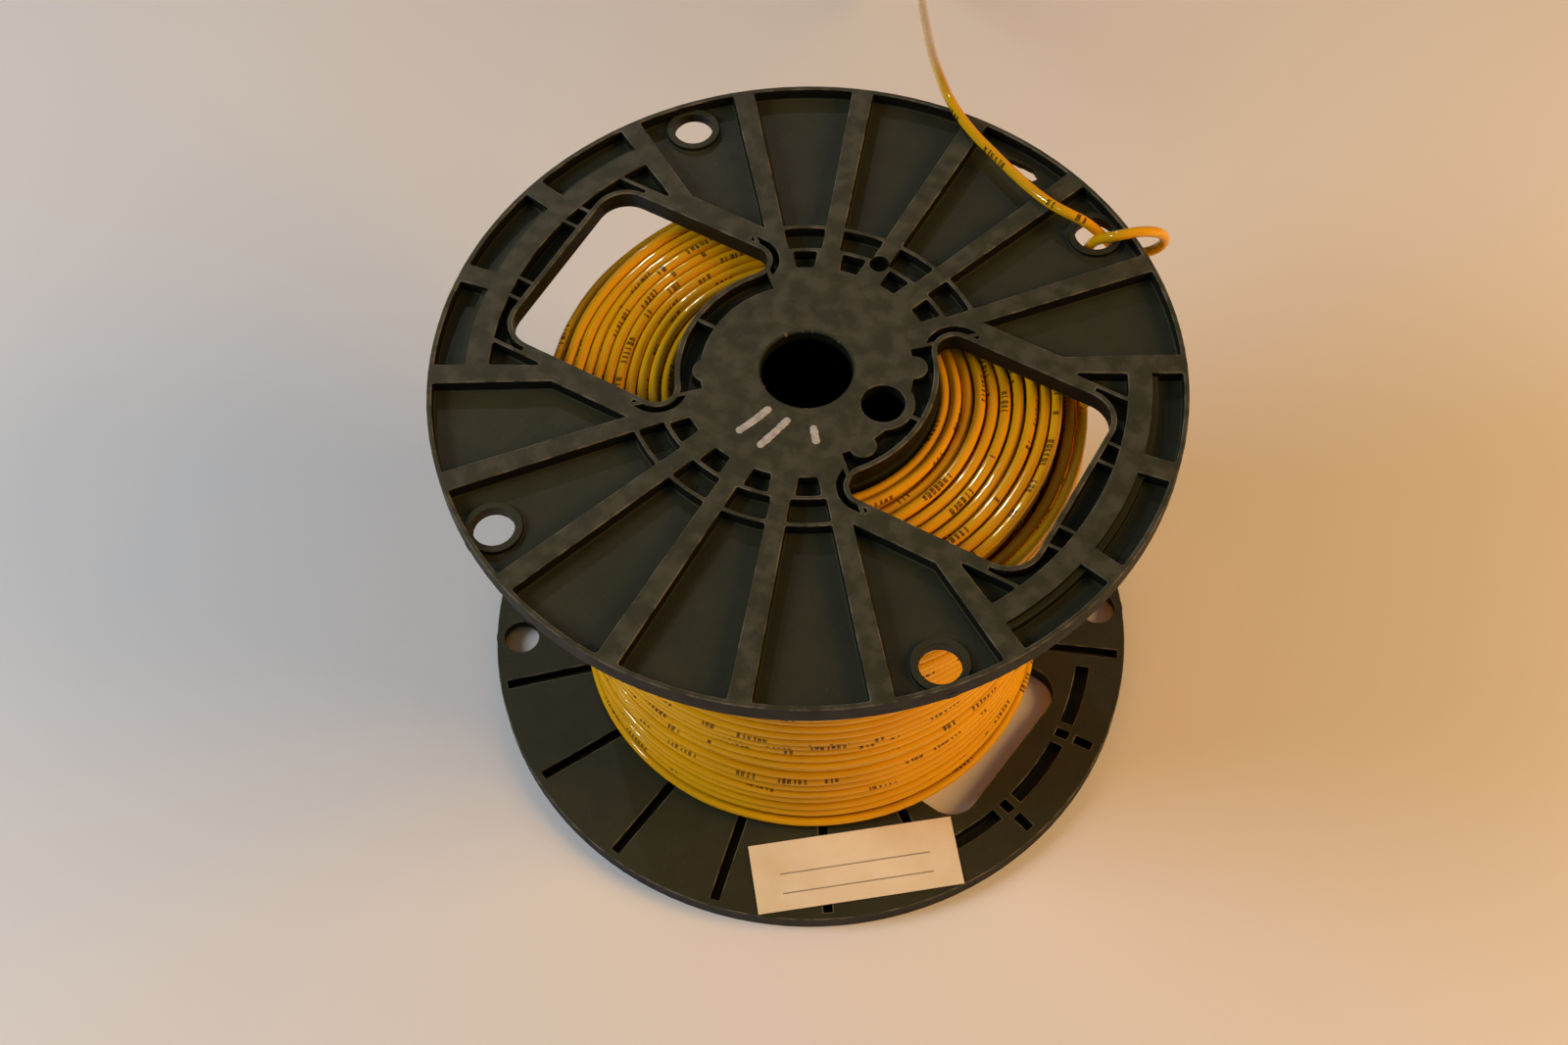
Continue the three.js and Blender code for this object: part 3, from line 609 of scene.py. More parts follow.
ARC_STEP = 3 * DEGREE
HOLE_ARC_STEP = 2 * ARC_STEP  # smaller rounds have longer steps
FILLET_STEP = 3 * ARC_STEP
SMALL_ARC_STEP = 4 * ARC_STEP
SMALLEST_ARC_STEP = 5 * ARC_STEP
CORNER_STEPS = 4
EDGE_ROUND = 0.25 * MM  # on the ribs' tops and along the inner face
FLOOR_ROUND = 0.4 * MM  # where walls meet the recess floors
CORNER_ROUND = 0.6 * MM  # of a recess, seen from above
CORNER_ANGLE = 25 * DEGREE  # sharper turns of an outline are rounded
RIM_WALL = 1.1 * MM
FIRST_RIB = 30 * DEGREE  # angle from the window axis
RIB_COUNT = 7  # in each half, from window to window
RIB_PITCH = (math.pi - 2 * FIRST_RIB) / (RIB_COUNT - 1)
RIB_WIDTHS = (4 * MM, 5 * MM)  # at the hub and at the rim
HUB_PLATE = 2.9 * MM
HUB_POCKET_INSET = 1.4 * MM
HUB_POCKET_DEPTH = 4.6 * MM
HUB_POCKET_GAP = 5.8 * MM
RING_WALL = 0.9 * MM  # thin arcs that tie the ribs together
RING_PITCH = 6.6 * MM
RIB_POCKET_RADIUS = 2.2 * MM
BORE_RADIUS = 10 * MM
BORE_CHAMFER = 0.6 * MM
DRIVE_HOLE_RADIUS = 4.8 * MM
DRIVE_HOLE = Vector((18.8 * MM, 0))
DRIVE_BOSS_WALL = 2.1 * MM
RIM_HOLE_RADIUS = 4.5 * MM
RIM_HOLE_INSET = 6.5 * MM
RIM_HOLE_PANELS = (1, 5)
RIM_HOLE_COLLAR = 1.7 * MM
RIM_HOLE_WALL = 2.8 * MM
WINDOW_BARREL_INSET = 0.5 * MM
WINDOW_RIM_INSET = 18.5 * MM
WINDOW_HALF_WIDTH = 23.9 * MM
WINDOW_FILLETS = (4 * MM, 7 * MM)  # on the hub side and on the rim side
LIP_WALL = 1.2 * MM
LIP_CHANNEL = 1.5 * MM  # groove round the lip's corners
HUB_CHANNEL_WIDTH = 4.3 * MM  # groove between the lip and the hub disc
HUB_CHANNEL_END = 43 * DEGREE
HUB_LOBE_RADIUS = 3 * MM
HUB_LOBE_ANGLE = 30 * DEGREE
HUB_LOBE_GAP = 1.2 * MM  # from a lobe to the lip
SMALL_LOBE_GAP = 2.6 * MM
HUB_RECESS_WALL = 0.6 * MM
BEAM_WIDTH = 4.6 * MM
BEAM_START = 20 * MM
OUTER_CHANNEL = 4.2 * MM
BAND_WIDTH = 5.2 * MM
LEDGE_WIDTH = 1.4 * MM
LEDGE_DROP = 1.2 * MM
BAND_GROOVE = 3.3 * MM
BAND_GROOVE_INSETS = (3.2 * MM, 4.7 * MM)  # from its ends to the short rib's and the first rib's middle
SHORT_RIB_GROOVE_WALL = 1.8 * MM
SHORT_RIB_GROOVE_INSET = 2.4 * MM
CROSS_WALL = 0.8 * MM
CROSS_WALL_PLACES = (9.3 * MM, 14.4 * MM)
RIB_GROOVE = 2.3 * MM
RIB_SKIN = 1.3 * MM
RIB_GROOVE_INSETS = (10 * MM, 1.9 * MM)  # from the barrel and from the rim
SIDE_GROOVE_LENGTH = 27.5 * MM
SPIGOT_LENGTH = 7 * MM
SPIGOT_WALL = 2.4 * MM

ABOVE = FLANGE_THICKNESS + OVERCUT
BELOW = -OVERCUT
RIM_INSIDE = FLANGE_RADIUS - RIM_WALL
HUB_RADIUS = BARREL_RADIUS - BARREL_WALL - SEAT_GAP
WINDOW_INNER_RADIUS = BARREL_RADIUS - WINDOW_BARREL_INSET
WINDOW_OUTER_X = FLANGE_RADIUS - WINDOW_RIM_INSET
BAND_INNER_RADIUS = WINDOW_OUTER_X + LIP_WALL + OUTER_CHANNEL
BAND_OUTER_RADIUS = BAND_INNER_RADIUS + BAND_WIDTH
RECESS_INSIDE = BAND_OUTER_RADIUS + LEDGE_WIDTH
BEAM_OUTSIDE = WINDOW_HALF_WIDTH + LIP_WALL + BEAM_WIDTH
LIP_RADIUS = WINDOW_INNER_RADIUS - LIP_WALL
HUB_CHANNEL_INSIDE = LIP_RADIUS - HUB_CHANNEL_WIDTH
FIRST_POCKET = HUB_RADIUS + HUB_POCKET_INSET
FIRST_RING = FIRST_POCKET + HUB_POCKET_DEPTH
SECOND_RING = FIRST_RING + RING_PITCH
AXIS = Vector((0, 0))
QUARTER = [k * 30 * DEGREE for k in range(4)]  # angles along a rounded edge
ROUNDING = 1e-6  # keeps a whole number of steps from becoming one more


def polar(radius, angle):
    return Vector((radius * math.cos(angle), radius * math.sin(angle)))


def arc(center, radius, start, end, step=ARC_STEP):
    count = max(1, math.ceil(abs(end - start) / step - ROUNDING))
    return [polar(radius, start + (end - start) * i / count) + center for i in range(count + 1)]


def circle(center, radius, step=ARC_STEP):
    return arc(center, radius, 0, 2 * math.pi, step)[:-1]


def rectangle(x0, x1, y0, y1):
    return [Vector(corner) for corner in ((x0, y0), (x1, y0), (x1, y1), (x0, y1))]


def mirrored(points):
    return [Vector((point.x, -point.y)) for point in reversed(points)]


def rounded(points, radius=CORNER_ROUND):
    """The outline with its sharp corners rounded."""
    outline = []
    for before, corner, after in zip(points[-1:] + points[:-1], points, points[1:] + points[:1]):
        turn = math.pi - (before - corner).angle(after - corner)
        if turn < CORNER_ANGLE:
            outline.append(corner)
            continue
        reach = radius * math.tan(turn / 2)
        start = corner + (before - corner).normalized() * reach
        end = corner + (after - corner).normalized() * reach
        for k in range(CORNER_STEPS + 1):
            t = k / CORNER_STEPS
            outline.append(start * (1 - t) ** 2 + corner * 2 * t * (1 - t) + end * t ** 2)
    return outline


def grown(points, distance):
    """The outline, counter-clockwise, moved outwards."""
    outline = []
    for before, point, after in zip(points[-1:] + points[:-1], points, points[1:] + points[:1]):
        arrive, leave = (point - before).normalized(), (after - point).normalized()
        normal = Vector((arrive.y, -arrive.x))
        both = normal + Vector((leave.y, -leave.x))
        outline.append(point + both * (distance / both.dot(normal)))
    return outline


def top_round(top, radius=EDGE_ROUND):
    """Heights and growths of a cutter that leaves a rounded edge at the top."""
    return [(top - radius + radius * math.sin(a), radius - radius * math.cos(a)) for a in QUARTER]


def floor_round(floor, radius=FLOOR_ROUND):
    """Heights and growths of a cutter that leaves a rounded foot at the floor."""
    return [(floor + radius - radius * math.cos(a), radius * math.sin(a) - radius) for a in QUARTER]


def underside(levels):
    """The levels turned over, from the ribs' side to the inner face's."""
    return [(-height, growth) for height, growth in reversed(levels)]


def standing(levels):
    """The levels of what is left standing inside a recess, from the recess's own."""
    return [(height, -growth) for height, growth in levels]


def hole(top):
    """Levels of a hole through the flange, rounded at both faces."""
    return [(BELOW, EDGE_ROUND)] + underside(top_round(0)) + top_round(top) + [(ABOVE, EDGE_ROUND)]


POCKET = floor_round(WEB) + top_round(FLANGE_THICKNESS) + [(ABOVE, EDGE_ROUND)]
WALL = [(BELOW, FLOOR_ROUND)] + standing(POCKET)
HOLE = hole(FLANGE_THICKNESS)
GROOVE_ROOF = FLANGE_THICKNESS - RIB_SKIN
GROOVE = [(BELOW, EDGE_ROUND)] + underside(top_round(0)) + underside(floor_round(-GROOVE_ROOF))


def solid(points, levels):
    """A solid whose outline grows or shrinks from level to level."""
    built = bmesh.new()
    area = sum(a.x * b.y - b.x * a.y for a, b in zip(points, points[1:] + points[:1]))
    if area < 0:
        points = points[::-1]
    rings = [[built.verts.new((*point, height)) for point in grown(points, growth)]
             for height, growth in levels]
    built.faces.new(rings[0][::-1])
    built.faces.new(rings[-1])
    for low, high in zip(rings, rings[1:]):
        for a, b, c, d in zip(low, low[1:] + low[:1], high[1:] + high[:1], high):
            built.faces.new((a, b, c, d))
    mesh = bpy.data.meshes.new("solid")
    built.to_mesh(mesh)
    built.free()
    return place_mesh("solid", mesh)


def combined(base, others, operation):
    """The base solid with the others cut from it, joined to it or intersected with it."""
    for other in others:
        modifier = base.modifiers.new("boolean", "BOOLEAN")
        modifier.solver = "MANIFOLD"
        modifier.operation = operation
        modifier.object = other
    mesh = evaluated_mesh(base)
    base.modifiers.clear()
    base.data = mesh
    for other in others:
        bpy.data.objects.remove(other)
    return base


def cut(base, *others):
    return combined(base, others, "DIFFERENCE")


def joined(base, *others):
    return combined(base, others, "UNION")


def common(base, *others):
    return combined(base, others, "INTERSECT")


def turned(piece, angle):
    piece.data.transform(Matrix.Rotation(angle, 4, "Z"))
    return piece


def rib_edge(radius, width):
    """Angle from a rib's middle to its edge."""
    return math.asin(width / 2 / radius)


def rib_width(radius):
    along = (radius - HUB_RADIUS) / (FLANGE_RADIUS - HUB_RADIUS)
    return RIB_WIDTHS[0] + (RIB_WIDTHS[1] - RIB_WIDTHS[0]) * along


def panel(rib, inner, outer, width_inside=None):
    """A recess between the rib at an angle and the next one."""
    width_inside = width_inside or rib_width(inner)
    near_edge = rib_edge(inner, width_inside)
    far_edge = rib_edge(outer, max(width_inside, rib_width(outer)))
    after = rib + RIB_PITCH
    outline = (arc(AXIS, outer, rib + far_edge, after - far_edge)
               + arc(AXIS, inner, after - near_edge, rib + near_edge))
    return solid(rounded(outline), POCKET)


def window_outline(growth):
    """The opening's outline, grown by a wall or a groove."""
    inner_fillet, outer_fillet = WINDOW_FILLETS
    height = WINDOW_HALF_WIDTH - inner_fillet
    fillet = Vector((math.sqrt((WINDOW_INNER_RADIUS + inner_fillet) ** 2 - height ** 2), height))
    corner = Vector((WINDOW_OUTER_X - outer_fillet, WINDOW_HALF_WIDTH - outer_fillet))
    touch = math.atan2(fillet.y, fillet.x)
    half = (arc(AXIS, WINDOW_INNER_RADIUS - growth, 0, touch)
            + arc(fillet, inner_fillet + growth, math.pi + touch, math.pi / 2, FILLET_STEP)[1:]
            + arc(corner, outer_fillet + growth, math.pi / 2, 0, FILLET_STEP))
    return half + mirrored(half[1:])


def hub_channel(with_drive_hole):
    """Grooves round the window's lip on the hub side, parted by thin walls, round the boss and the lobes."""
    groove = common(solid(window_outline(LIP_WALL + LIP_CHANNEL), POCKET),
                    solid(rectangle(0, WINDOW_INNER_RADIUS, -FLANGE_RADIUS, FLANGE_RADIUS), POCKET))
    hub_side = (arc(AXIS, WINDOW_INNER_RADIUS, -HUB_CHANNEL_END, HUB_CHANNEL_END)
                + arc(AXIS, HUB_CHANNEL_INSIDE, HUB_CHANNEL_END, -HUB_CHANNEL_END))
    walls = [solid(window_outline(LIP_WALL), WALL)]
    walls += [turned(solid(rectangle(0, FLANGE_RADIUS, -RING_WALL / 2, RING_WALL / 2), WALL), angle)
              for angle in (-HUB_CHANNEL_END, 0, HUB_CHANNEL_END)]
    gap, sides = (HUB_LOBE_GAP, (1, -1)) if with_drive_hole else (SMALL_LOBE_GAP, (1,))
    lobes = [polar(LIP_RADIUS - gap - HUB_LOBE_RADIUS, side * HUB_LOBE_ANGLE) for side in sides]
    walls += [solid(circle(lobe, HUB_LOBE_RADIUS, SMALL_ARC_STEP), WALL) for lobe in lobes]
    if with_drive_hole:
        boss = circle(DRIVE_HOLE, DRIVE_HOLE_RADIUS + DRIVE_BOSS_WALL, HOLE_ARC_STEP)
        walls.append(solid(boss, WALL))
    return cut(joined(groove, solid(hub_side, POCKET)), *walls)


def outer_channel():
    """Channel between the window's lip and the raised band, in cells between thin cross walls."""
    start = WINDOW_OUTER_X - WINDOW_FILLETS[1]
    edge = WINDOW_HALF_WIDTH + LIP_WALL + RING_WALL
    walls = [solid(rectangle(start, BAND_INNER_RADIUS, y - CROSS_WALL / 2, y + CROSS_WALL / 2), WALL)
             for place in CROSS_WALL_PLACES for y in (place, -place)]
    channel = common(solid(circle(AXIS, BAND_INNER_RADIUS), POCKET),
                     solid(rectangle(start, BAND_INNER_RADIUS, -edge, edge), POCKET))
    return cut(channel, solid(window_outline(LIP_WALL), WALL), *walls)


def corner_pocket():
    """Outline of the three-cornered pocket between the lip's wall, the first rib and the band."""
    low = WINDOW_HALF_WIDTH + LIP_WALL + 2 * RING_WALL
    edge = FIRST_RIB - rib_edge(BAND_INNER_RADIUS, rib_width(BAND_INNER_RADIUS))
    far = math.asin(low / BAND_INNER_RADIUS)
    return rounded([Vector((low / math.tan(edge), low)), *arc(AXIS, BAND_INNER_RADIUS, far, edge)])


def ledge():
    """Shallow step outside the raised band, between the stub ribs."""
    drop = [(FLANGE_THICKNESS - LEDGE_DROP, 0), (ABOVE, 0)]
    end = FIRST_RIB - rib_edge(RECESS_INSIDE, rib_width(RECESS_INSIDE))
    sector = arc(AXIS, RECESS_INSIDE + EDGE_ROUND, -end, end) + arc(AXIS, BAND_OUTER_RADIUS, end, -end)
    stubs = [turned(solid(rectangle(0, FLANGE_RADIUS, -RIB_WIDTHS[1] / 2, RIB_WIDTHS[1] / 2), WALL), angle)
             for angle in (RIB_PITCH / 2, -RIB_PITCH / 2)]
    return cut(solid(sector, drop), *stubs)


def window_recesses(with_drive_hole):
    """Recesses round one window, from the hub to the rim."""
    outer = [panel(turns * RIB_PITCH, RECESS_INSIDE, RIM_INSIDE) for turns in (-1.5, -0.5, 0.5)]
    pocket = corner_pocket()
    return [hub_channel(with_drive_hole), outer_channel(), solid(pocket, POCKET),
            solid(mirrored(pocket), POCKET), *outer, ledge()]


def rib_recesses():
    """Recesses between the ribs of one half, from window to window."""
    recesses = []
    for i in range(RIB_COUNT - 1):
        rib = FIRST_RIB + i * RIB_PITCH
        wide = panel(rib, SECOND_RING + RING_WALL, RIM_INSIDE)
        if i in (0, RIB_COUNT - 2):
            ends = (BEAM_START, FLANGE_RADIUS) if i == 0 else (-FLANGE_RADIUS, -BEAM_START)
            recesses.append(cut(wide, solid(rectangle(*ends, 0, BEAM_OUTSIDE), WALL)))
            continue
        recesses += [wide, panel(rib, FIRST_POCKET, FIRST_RING, HUB_POCKET_GAP),
                     panel(rib, FIRST_RING + RING_WALL, SECOND_RING)]
    return recesses


def inner_grooves():
    """Grooves in the inner face, under the ribs and under the bands."""
    start, end = BARREL_RADIUS + RIB_GROOVE_INSETS[0], FLANGE_RADIUS - RIB_GROOVE_INSETS[1]
    band_inside = BAND_INNER_RADIUS + (BAND_WIDTH - BAND_GROOVE) / 2
    band_outside = band_inside + BAND_GROOVE
    outer_start, outer_end = band_outside + SHORT_RIB_GROOVE_WALL, FLANGE_RADIUS - SHORT_RIB_GROOVE_INSET
    short_rib = RIB_PITCH / 2
    inset, side_inset = (math.asin(length / band_inside) for length in BAND_GROOVE_INSETS)
    stretches = [(-FIRST_RIB + side_inset, -short_rib - inset), (-short_rib + inset, short_rib - inset),
                 (short_rib + inset, FIRST_RIB - side_inset)]

    def along_rib(inner, outer, angle):
        return turned(solid(rectangle(inner, outer, -RIB_GROOVE / 2, RIB_GROOVE / 2), GROOVE), angle)

    grooves = []
    for half in (0, math.pi):
        for i in range(RIB_COUNT):
            inner = end - SIDE_GROOVE_LENGTH if i in (0, RIB_COUNT - 1) else start
            grooves.append(along_rib(inner, end, half + FIRST_RIB + i * RIB_PITCH))
        for first, last in stretches:
            outline = (arc(AXIS, band_outside, half + first, half + last)
                       + arc(AXIS, band_inside, half + last, half + first))
            grooves.append(solid(outline, GROOVE))
        for angle in (half - short_rib, half + short_rib):
            grooves.append(along_rib(band_inside, band_outside, angle))
            grooves.append(along_rib(outer_start, outer_end, angle))
    return grooves


def rim_holes():
    """Middles of the rim holes, two in each half."""
    angles = [FIRST_RIB + (index + 0.5) * RIB_PITCH for index in RIM_HOLE_PANELS]
    return [polar(FLANGE_RADIUS - RIM_HOLE_INSET, half + angle) for half in (0, math.pi) for angle in angles]


def flange_solid():
    """The whole moulding, ribs up."""
    rim = underside(top_round(0)) + top_round(FLANGE_THICKNESS)
    recesses = [turned(recess, turn) for turn, with_drive_hole in ((0, True), (math.pi, False))
                for recess in rib_recesses() + window_recesses(with_drive_hole)]
    flange = cut(solid(circle(AXIS, FLANGE_RADIUS), standing(rim)), *recesses)
    collar = [(0, FLOOR_ROUND)] + standing(floor_round(WEB)) + standing(top_round(RIM_HOLE_WALL))
    collar_radius = RIM_HOLE_RADIUS + RIM_HOLE_COLLAR
    flange = joined(flange, *(solid(circle(place, collar_radius, HOLE_ARC_STEP), collar)
                              for place in rim_holes()))
    flange = cut(flange, *(solid(circle(place, RIM_HOLE_RADIUS, HOLE_ARC_STEP), hole(RIM_HOLE_WALL))
                           for place in rim_holes()))
    flange = cut(flange, *inner_grooves())
    chamfer_top = BORE_CHAMFER + ABOVE - FLANGE_THICKNESS
    chamfer = [(BELOW, 0), (FLANGE_THICKNESS - BORE_CHAMFER, 0), (ABOVE, chamfer_top)]
    hub_recess = circle(AXIS, HUB_CHANNEL_INSIDE - HUB_RECESS_WALL)
    hub_roof = FLANGE_THICKNESS - HUB_PLATE
    rib_pocket = circle(Vector((0, FIRST_RING + RING_WALL / 2)), RIB_POCKET_RADIUS, SMALLEST_ARC_STEP)
    flange = cut(flange, solid(circle(AXIS, BORE_RADIUS), chamfer),
                 solid(circle(DRIVE_HOLE, DRIVE_HOLE_RADIUS, HOLE_ARC_STEP), HOLE),
                 solid(hub_recess, [(BELOW, 0), (hub_roof, 0)]), solid(rib_pocket, POCKET))
    spigot_end = -SPIGOT_LENGTH - OVERCUT
    spigot = cut(solid(circle(AXIS, HUB_RADIUS), [(-SPIGOT_LENGTH, 0), (WEB, 0)]),
                 solid(circle(AXIS, HUB_RADIUS - SPIGOT_WALL), [(spigot_end, 0), (0, 0)]),
                 solid(hub_recess, [(spigot_end, 0), (hub_roof, 0)]))
    windows = [turned(solid(window_outline(0), HOLE), turn) for turn in (0, math.pi)]
    return cut(joined(flange, spigot), *windows)


# The ribs' tops are paler than the recesses partly from wear, partly as painted light
TOP_WEAR_AND_PAINTED_LIGHT = 0.3  # of the ribs' tops, where a rounded edge has 1
EDGE_SLOPES = (0.2, 0.98)  # upward share of the normal, on a rounded edge


def mark_edges(mesh):
    """Marks where the plastic turns pale, partly from handling wear and partly as painted highlight and
    painted light.

    That is the rounded edges of the inner face and of the ribs' tops, and less strongly the tops themselves.
    """
    steep, flat = EDGE_SLOPES
    marks = []
    for face in mesh.polygons:
        height, slope = face.center.z, abs(face.normal.z)
        at_edge = min(abs(height), abs(height - FLANGE_THICKNESS)) < EDGE_ROUND
        on_top = height > FLANGE_THICKNESS - EDGE_ROUND / 2 and slope >= flat
        marks.append(TOP_WEAR_AND_PAINTED_LIGHT if on_top else 1.0 if at_edge and steep < slope < flat else 0.0)
    mesh.attributes.new("edge", "FLOAT", "FACE").data.foreach_set("value", marks)


def finished_flange(name, piece, place):
    """A copy of the moulding in its place, shaded smooth over its rounded edges."""
    mesh = piece.data.copy()
    mesh.name = name
    mark_edges(mesh)
    mesh.transform(place)
    smooth(mesh, FLAT_EDGES)
    flange = place_mesh(name, mesh)
    flange.modifiers.new("even_shading", "WEIGHTED_NORMAL").keep_sharp = True
    flange.data = evaluated_mesh(flange)
    flange.modifiers.clear()
    flange.data.name = name
    return flange


BROKEN_INSET = 5.2 * MM  # ragged patch broken out of the upper flange's web
BROKEN_ANGLE = 79.3 * DEGREE
BROKEN_OUTLINE = [  # millimetres, along X and Y from the patch's middle
    (-4.2, 0.9), (-2.5, 1.4), (0, 1.3), (2.7, 1.1), (5, -0.5), (4, -2.3), (1, -1.7), (-2, -0.6),
]
BROKEN_JITTER = 0.25 * MM
BROKEN_SEED = 4
BROKEN_FLARE = (0.3 * MM, 0.15 * MM)  # how much wider the break is under the web and at its inner face


def broken_patch():
    """Cutter for the patch, with a jagged point between each two corners."""
    center = polar(FLANGE_RADIUS - BROKEN_INSET, BROKEN_ANGLE)
    corners = [Vector(point) * MM + center for point in BROKEN_OUTLINE]
    rng = np.random.default_rng(BROKEN_SEED)
    shifts = rng.uniform(-BROKEN_JITTER, BROKEN_JITTER, (2 * len(corners), 2))
    ragged = []
    for i, (corner, after) in enumerate(zip(corners, corners[1:] + corners[:1])):
        ragged += [corner, (corner + after) / 2 + Vector(shifts[i])]
    return solid(ragged, [(BELOW, BROKEN_FLARE[0]), (0, BROKEN_FLARE[1]), (WEB, 0), (ABOVE, 0)])


flange = flange_solid()
lower_place = Matrix.Translation((0, 0, FLANGE_THICKNESS)) @ Matrix.Rotation(
    LOWER_FLANGE_TURN, 4, "Z") @ Matrix.Rotation(math.pi, 4, "X")
lower_flange = finished_flange("lower_flange_moulding", flange, lower_place)
flange = cut(flange, broken_patch())
upper_flange = finished_flange("upper_flange_moulding", flange, Matrix.Translation((0, 0, INNER_FACE)))
bpy.data.objects.remove(flange)
dress(lower_flange, PLASTIC, "moulded_plastic", "lower_flange")
dress(upper_flange, PLASTIC, "moulded_plastic", "upper_flange")

barrel = frame["nodes"]["barrel"]
barrel.data.materials.clear()
barrel.data.materials.append(PLASTIC)

# ---- Wire pieces ----

LAST_TURN_ANGLE = math.atan2(LAST_TURN.y, LAST_TURN.x)
LOWEST_TURN = WINDING_LOW + WIRE_RADIUS
HIGHEST_TURN = WINDING_HIGH - WIRE_RADIUS
SECOND_RADIUS = OUTER_TURN_RADIUS - LAYER_PITCH
INNER_TURNS = LAYERS - 2
INNER_START = SECOND_RADIUS - INNER_TURNS * LAYER_PITCH
CORE_CLEARANCE = 6 * MM  # from the winding's top and bottom down to the plain inner mass

LAYER_LAY = {"low": LOWEST_TURN, "bulge": 0.8 * MM, "seed": 1.0, "slack": OUTER_SLACK,
             "slack_side": SLACK_SIDE, "slack_start": 0.25, "slack_full": 0.85}
TOP_LAY = {"turns": float(INNER_TURNS), "bulge": 1.6 * MM, "drop": 3 * MM, "seed": 2.0, "slack": 3 * MM,
           "slack_side": SLACK_SIDE}

outer_layer = wound(
    "winding_outer_layer", JACKET, turns=float(OUTER_TURNS), start_radius=OUTER_TURN_RADIUS,
    end_radius=LAST_TURN.xy.length - OUTER_SLACK, high=LAST_TURN.z, turn=LAST_TURN_ANGLE, unevenness=2 * MM,
    spread=2.4 * MM, foot=1.2 * MM, **LAYER_LAY)
second_layer = wound(
    "winding_second_layer", JACKET, turns=float(SECOND_LAYER_TURNS), start_radius=SECOND_RADIUS,
    end_radius=SECOND_RADIUS, high=LAST_TURN.z - WIRE_DIAMETER, turn=200 * DEGREE, unevenness=0.6 * MM,
    spread=1.2 * MM, **LAYER_LAY)
top_turns = wound(
    "winding_top_turns", JACKET, start_radius=INNER_START, end_radius=SECOND_RADIUS,
    low=HIGHEST_TURN, high=HIGHEST_TURN, turn=90 * DEGREE, **TOP_LAY)
under_turns = wound(
    "winding_under_turns", JACKET, start_radius=INNER_START - LAYER_PITCH / 2,
    end_radius=SECOND_RADIUS - LAYER_PITCH / 2, low=HIGHEST_TURN - WIRE_DIAMETER,
    high=HIGHEST_TURN - WIRE_DIAMETER, turn=250 * DEGREE, **TOP_LAY)
bottom_turns = wound(
    "winding_bottom_turns", JACKET, turns=float(INNER_TURNS), start_radius=INNER_START,
    end_radius=SECOND_RADIUS, low=LOWEST_TURN, high=LOWEST_TURN, turn=90 * DEGREE, bulge=0.4 * MM, seed=5.0)


def winding_core():
    """The layers behind the turns that show, as one plain ring."""
    low, high = WINDING_LOW + CORE_CLEARANCE, WINDING_HIGH - CORE_CLEARANCE
    outside = SECOND_RADIUS - WIRE_RADIUS - SEAT_GAP
    core = cut(solid(circle(AXIS, outside), [(low, 0), (high, 0)]),
               solid(circle(AXIS, BARREL_RADIUS + SEAT_GAP), [(low - OVERCUT, 0), (high + OVERCUT, 0)]))
    core.name = "winding_core"
    smooth(core.data, ROUND_EDGES)
    return core


core = winding_core()
dress(outer_layer, JACKET, "wire_jacket", "wire_outer_layer")
dress(top_turns, JACKET, "wire_jacket", "wire_inner_layers")
for layer in (second_layer, under_turns, bottom_turns, core):
    dress(layer, JACKET, "wire_jacket")
dress(loose_wire, JACKET, "wire_jacket", "wire_rim_loop", "wire_tail")
dress(copper_strands, COPPER, "conductor", "wire_conductor")

# ---- Label ----

LABEL_SIZE = (51 * MM, 18 * MM)
LABEL_THICKNESS = 0.22 * MM
LABEL_INSET = 0.9 * MM  # its middle, inwards from midway between the winding and the flange's edge
LABEL_MIDDLE = polar((WINDING_RADIUS + FLANGE_RADIUS) / 2 - LABEL_INSET, -51.3 * DEGREE)
LABEL_TURN = 38.4 * DEGREE
LABEL_STEPS = (68, 24)
RULED_LINES = (0.5 * MM, -4.6 * MM)  # places across the label
RULED_LENGTH = 38 * MM
RULED_WIDTH = 0.35 * MM
SPRUNG_FROM = (0.55, 0.7)  # share of the way to a corner from which it lifts, at one corner and the other
SPRUNG_HEIGHT = 1.6 * MM
RIPPLE_HEIGHT = 0.03 * MM
RIPPLE_LENGTHS = (6 * MM, 5 * MM)  # along and across the label
LABEL_LIFT = 0.05 * MM


def label_height(x, y):
    """How high the sheet lies over its seat."""
    along, across = x / (LABEL_SIZE[0] / 2), y / (LABEL_SIZE[1] / 2)
    right = max(0.0, (along - across) / 2 - SPRUNG_FROM[0])
    left = max(0.0, (-along - across) / 2 - SPRUNG_FROM[1])
    ripple = RIPPLE_HEIGHT * math.sin(x / RIPPLE_LENGTHS[0]) * math.cos(y / RIPPLE_LENGTHS[1])
    return SPRUNG_HEIGHT * (right ** 2 + left ** 2) + ripple + LABEL_LIFT


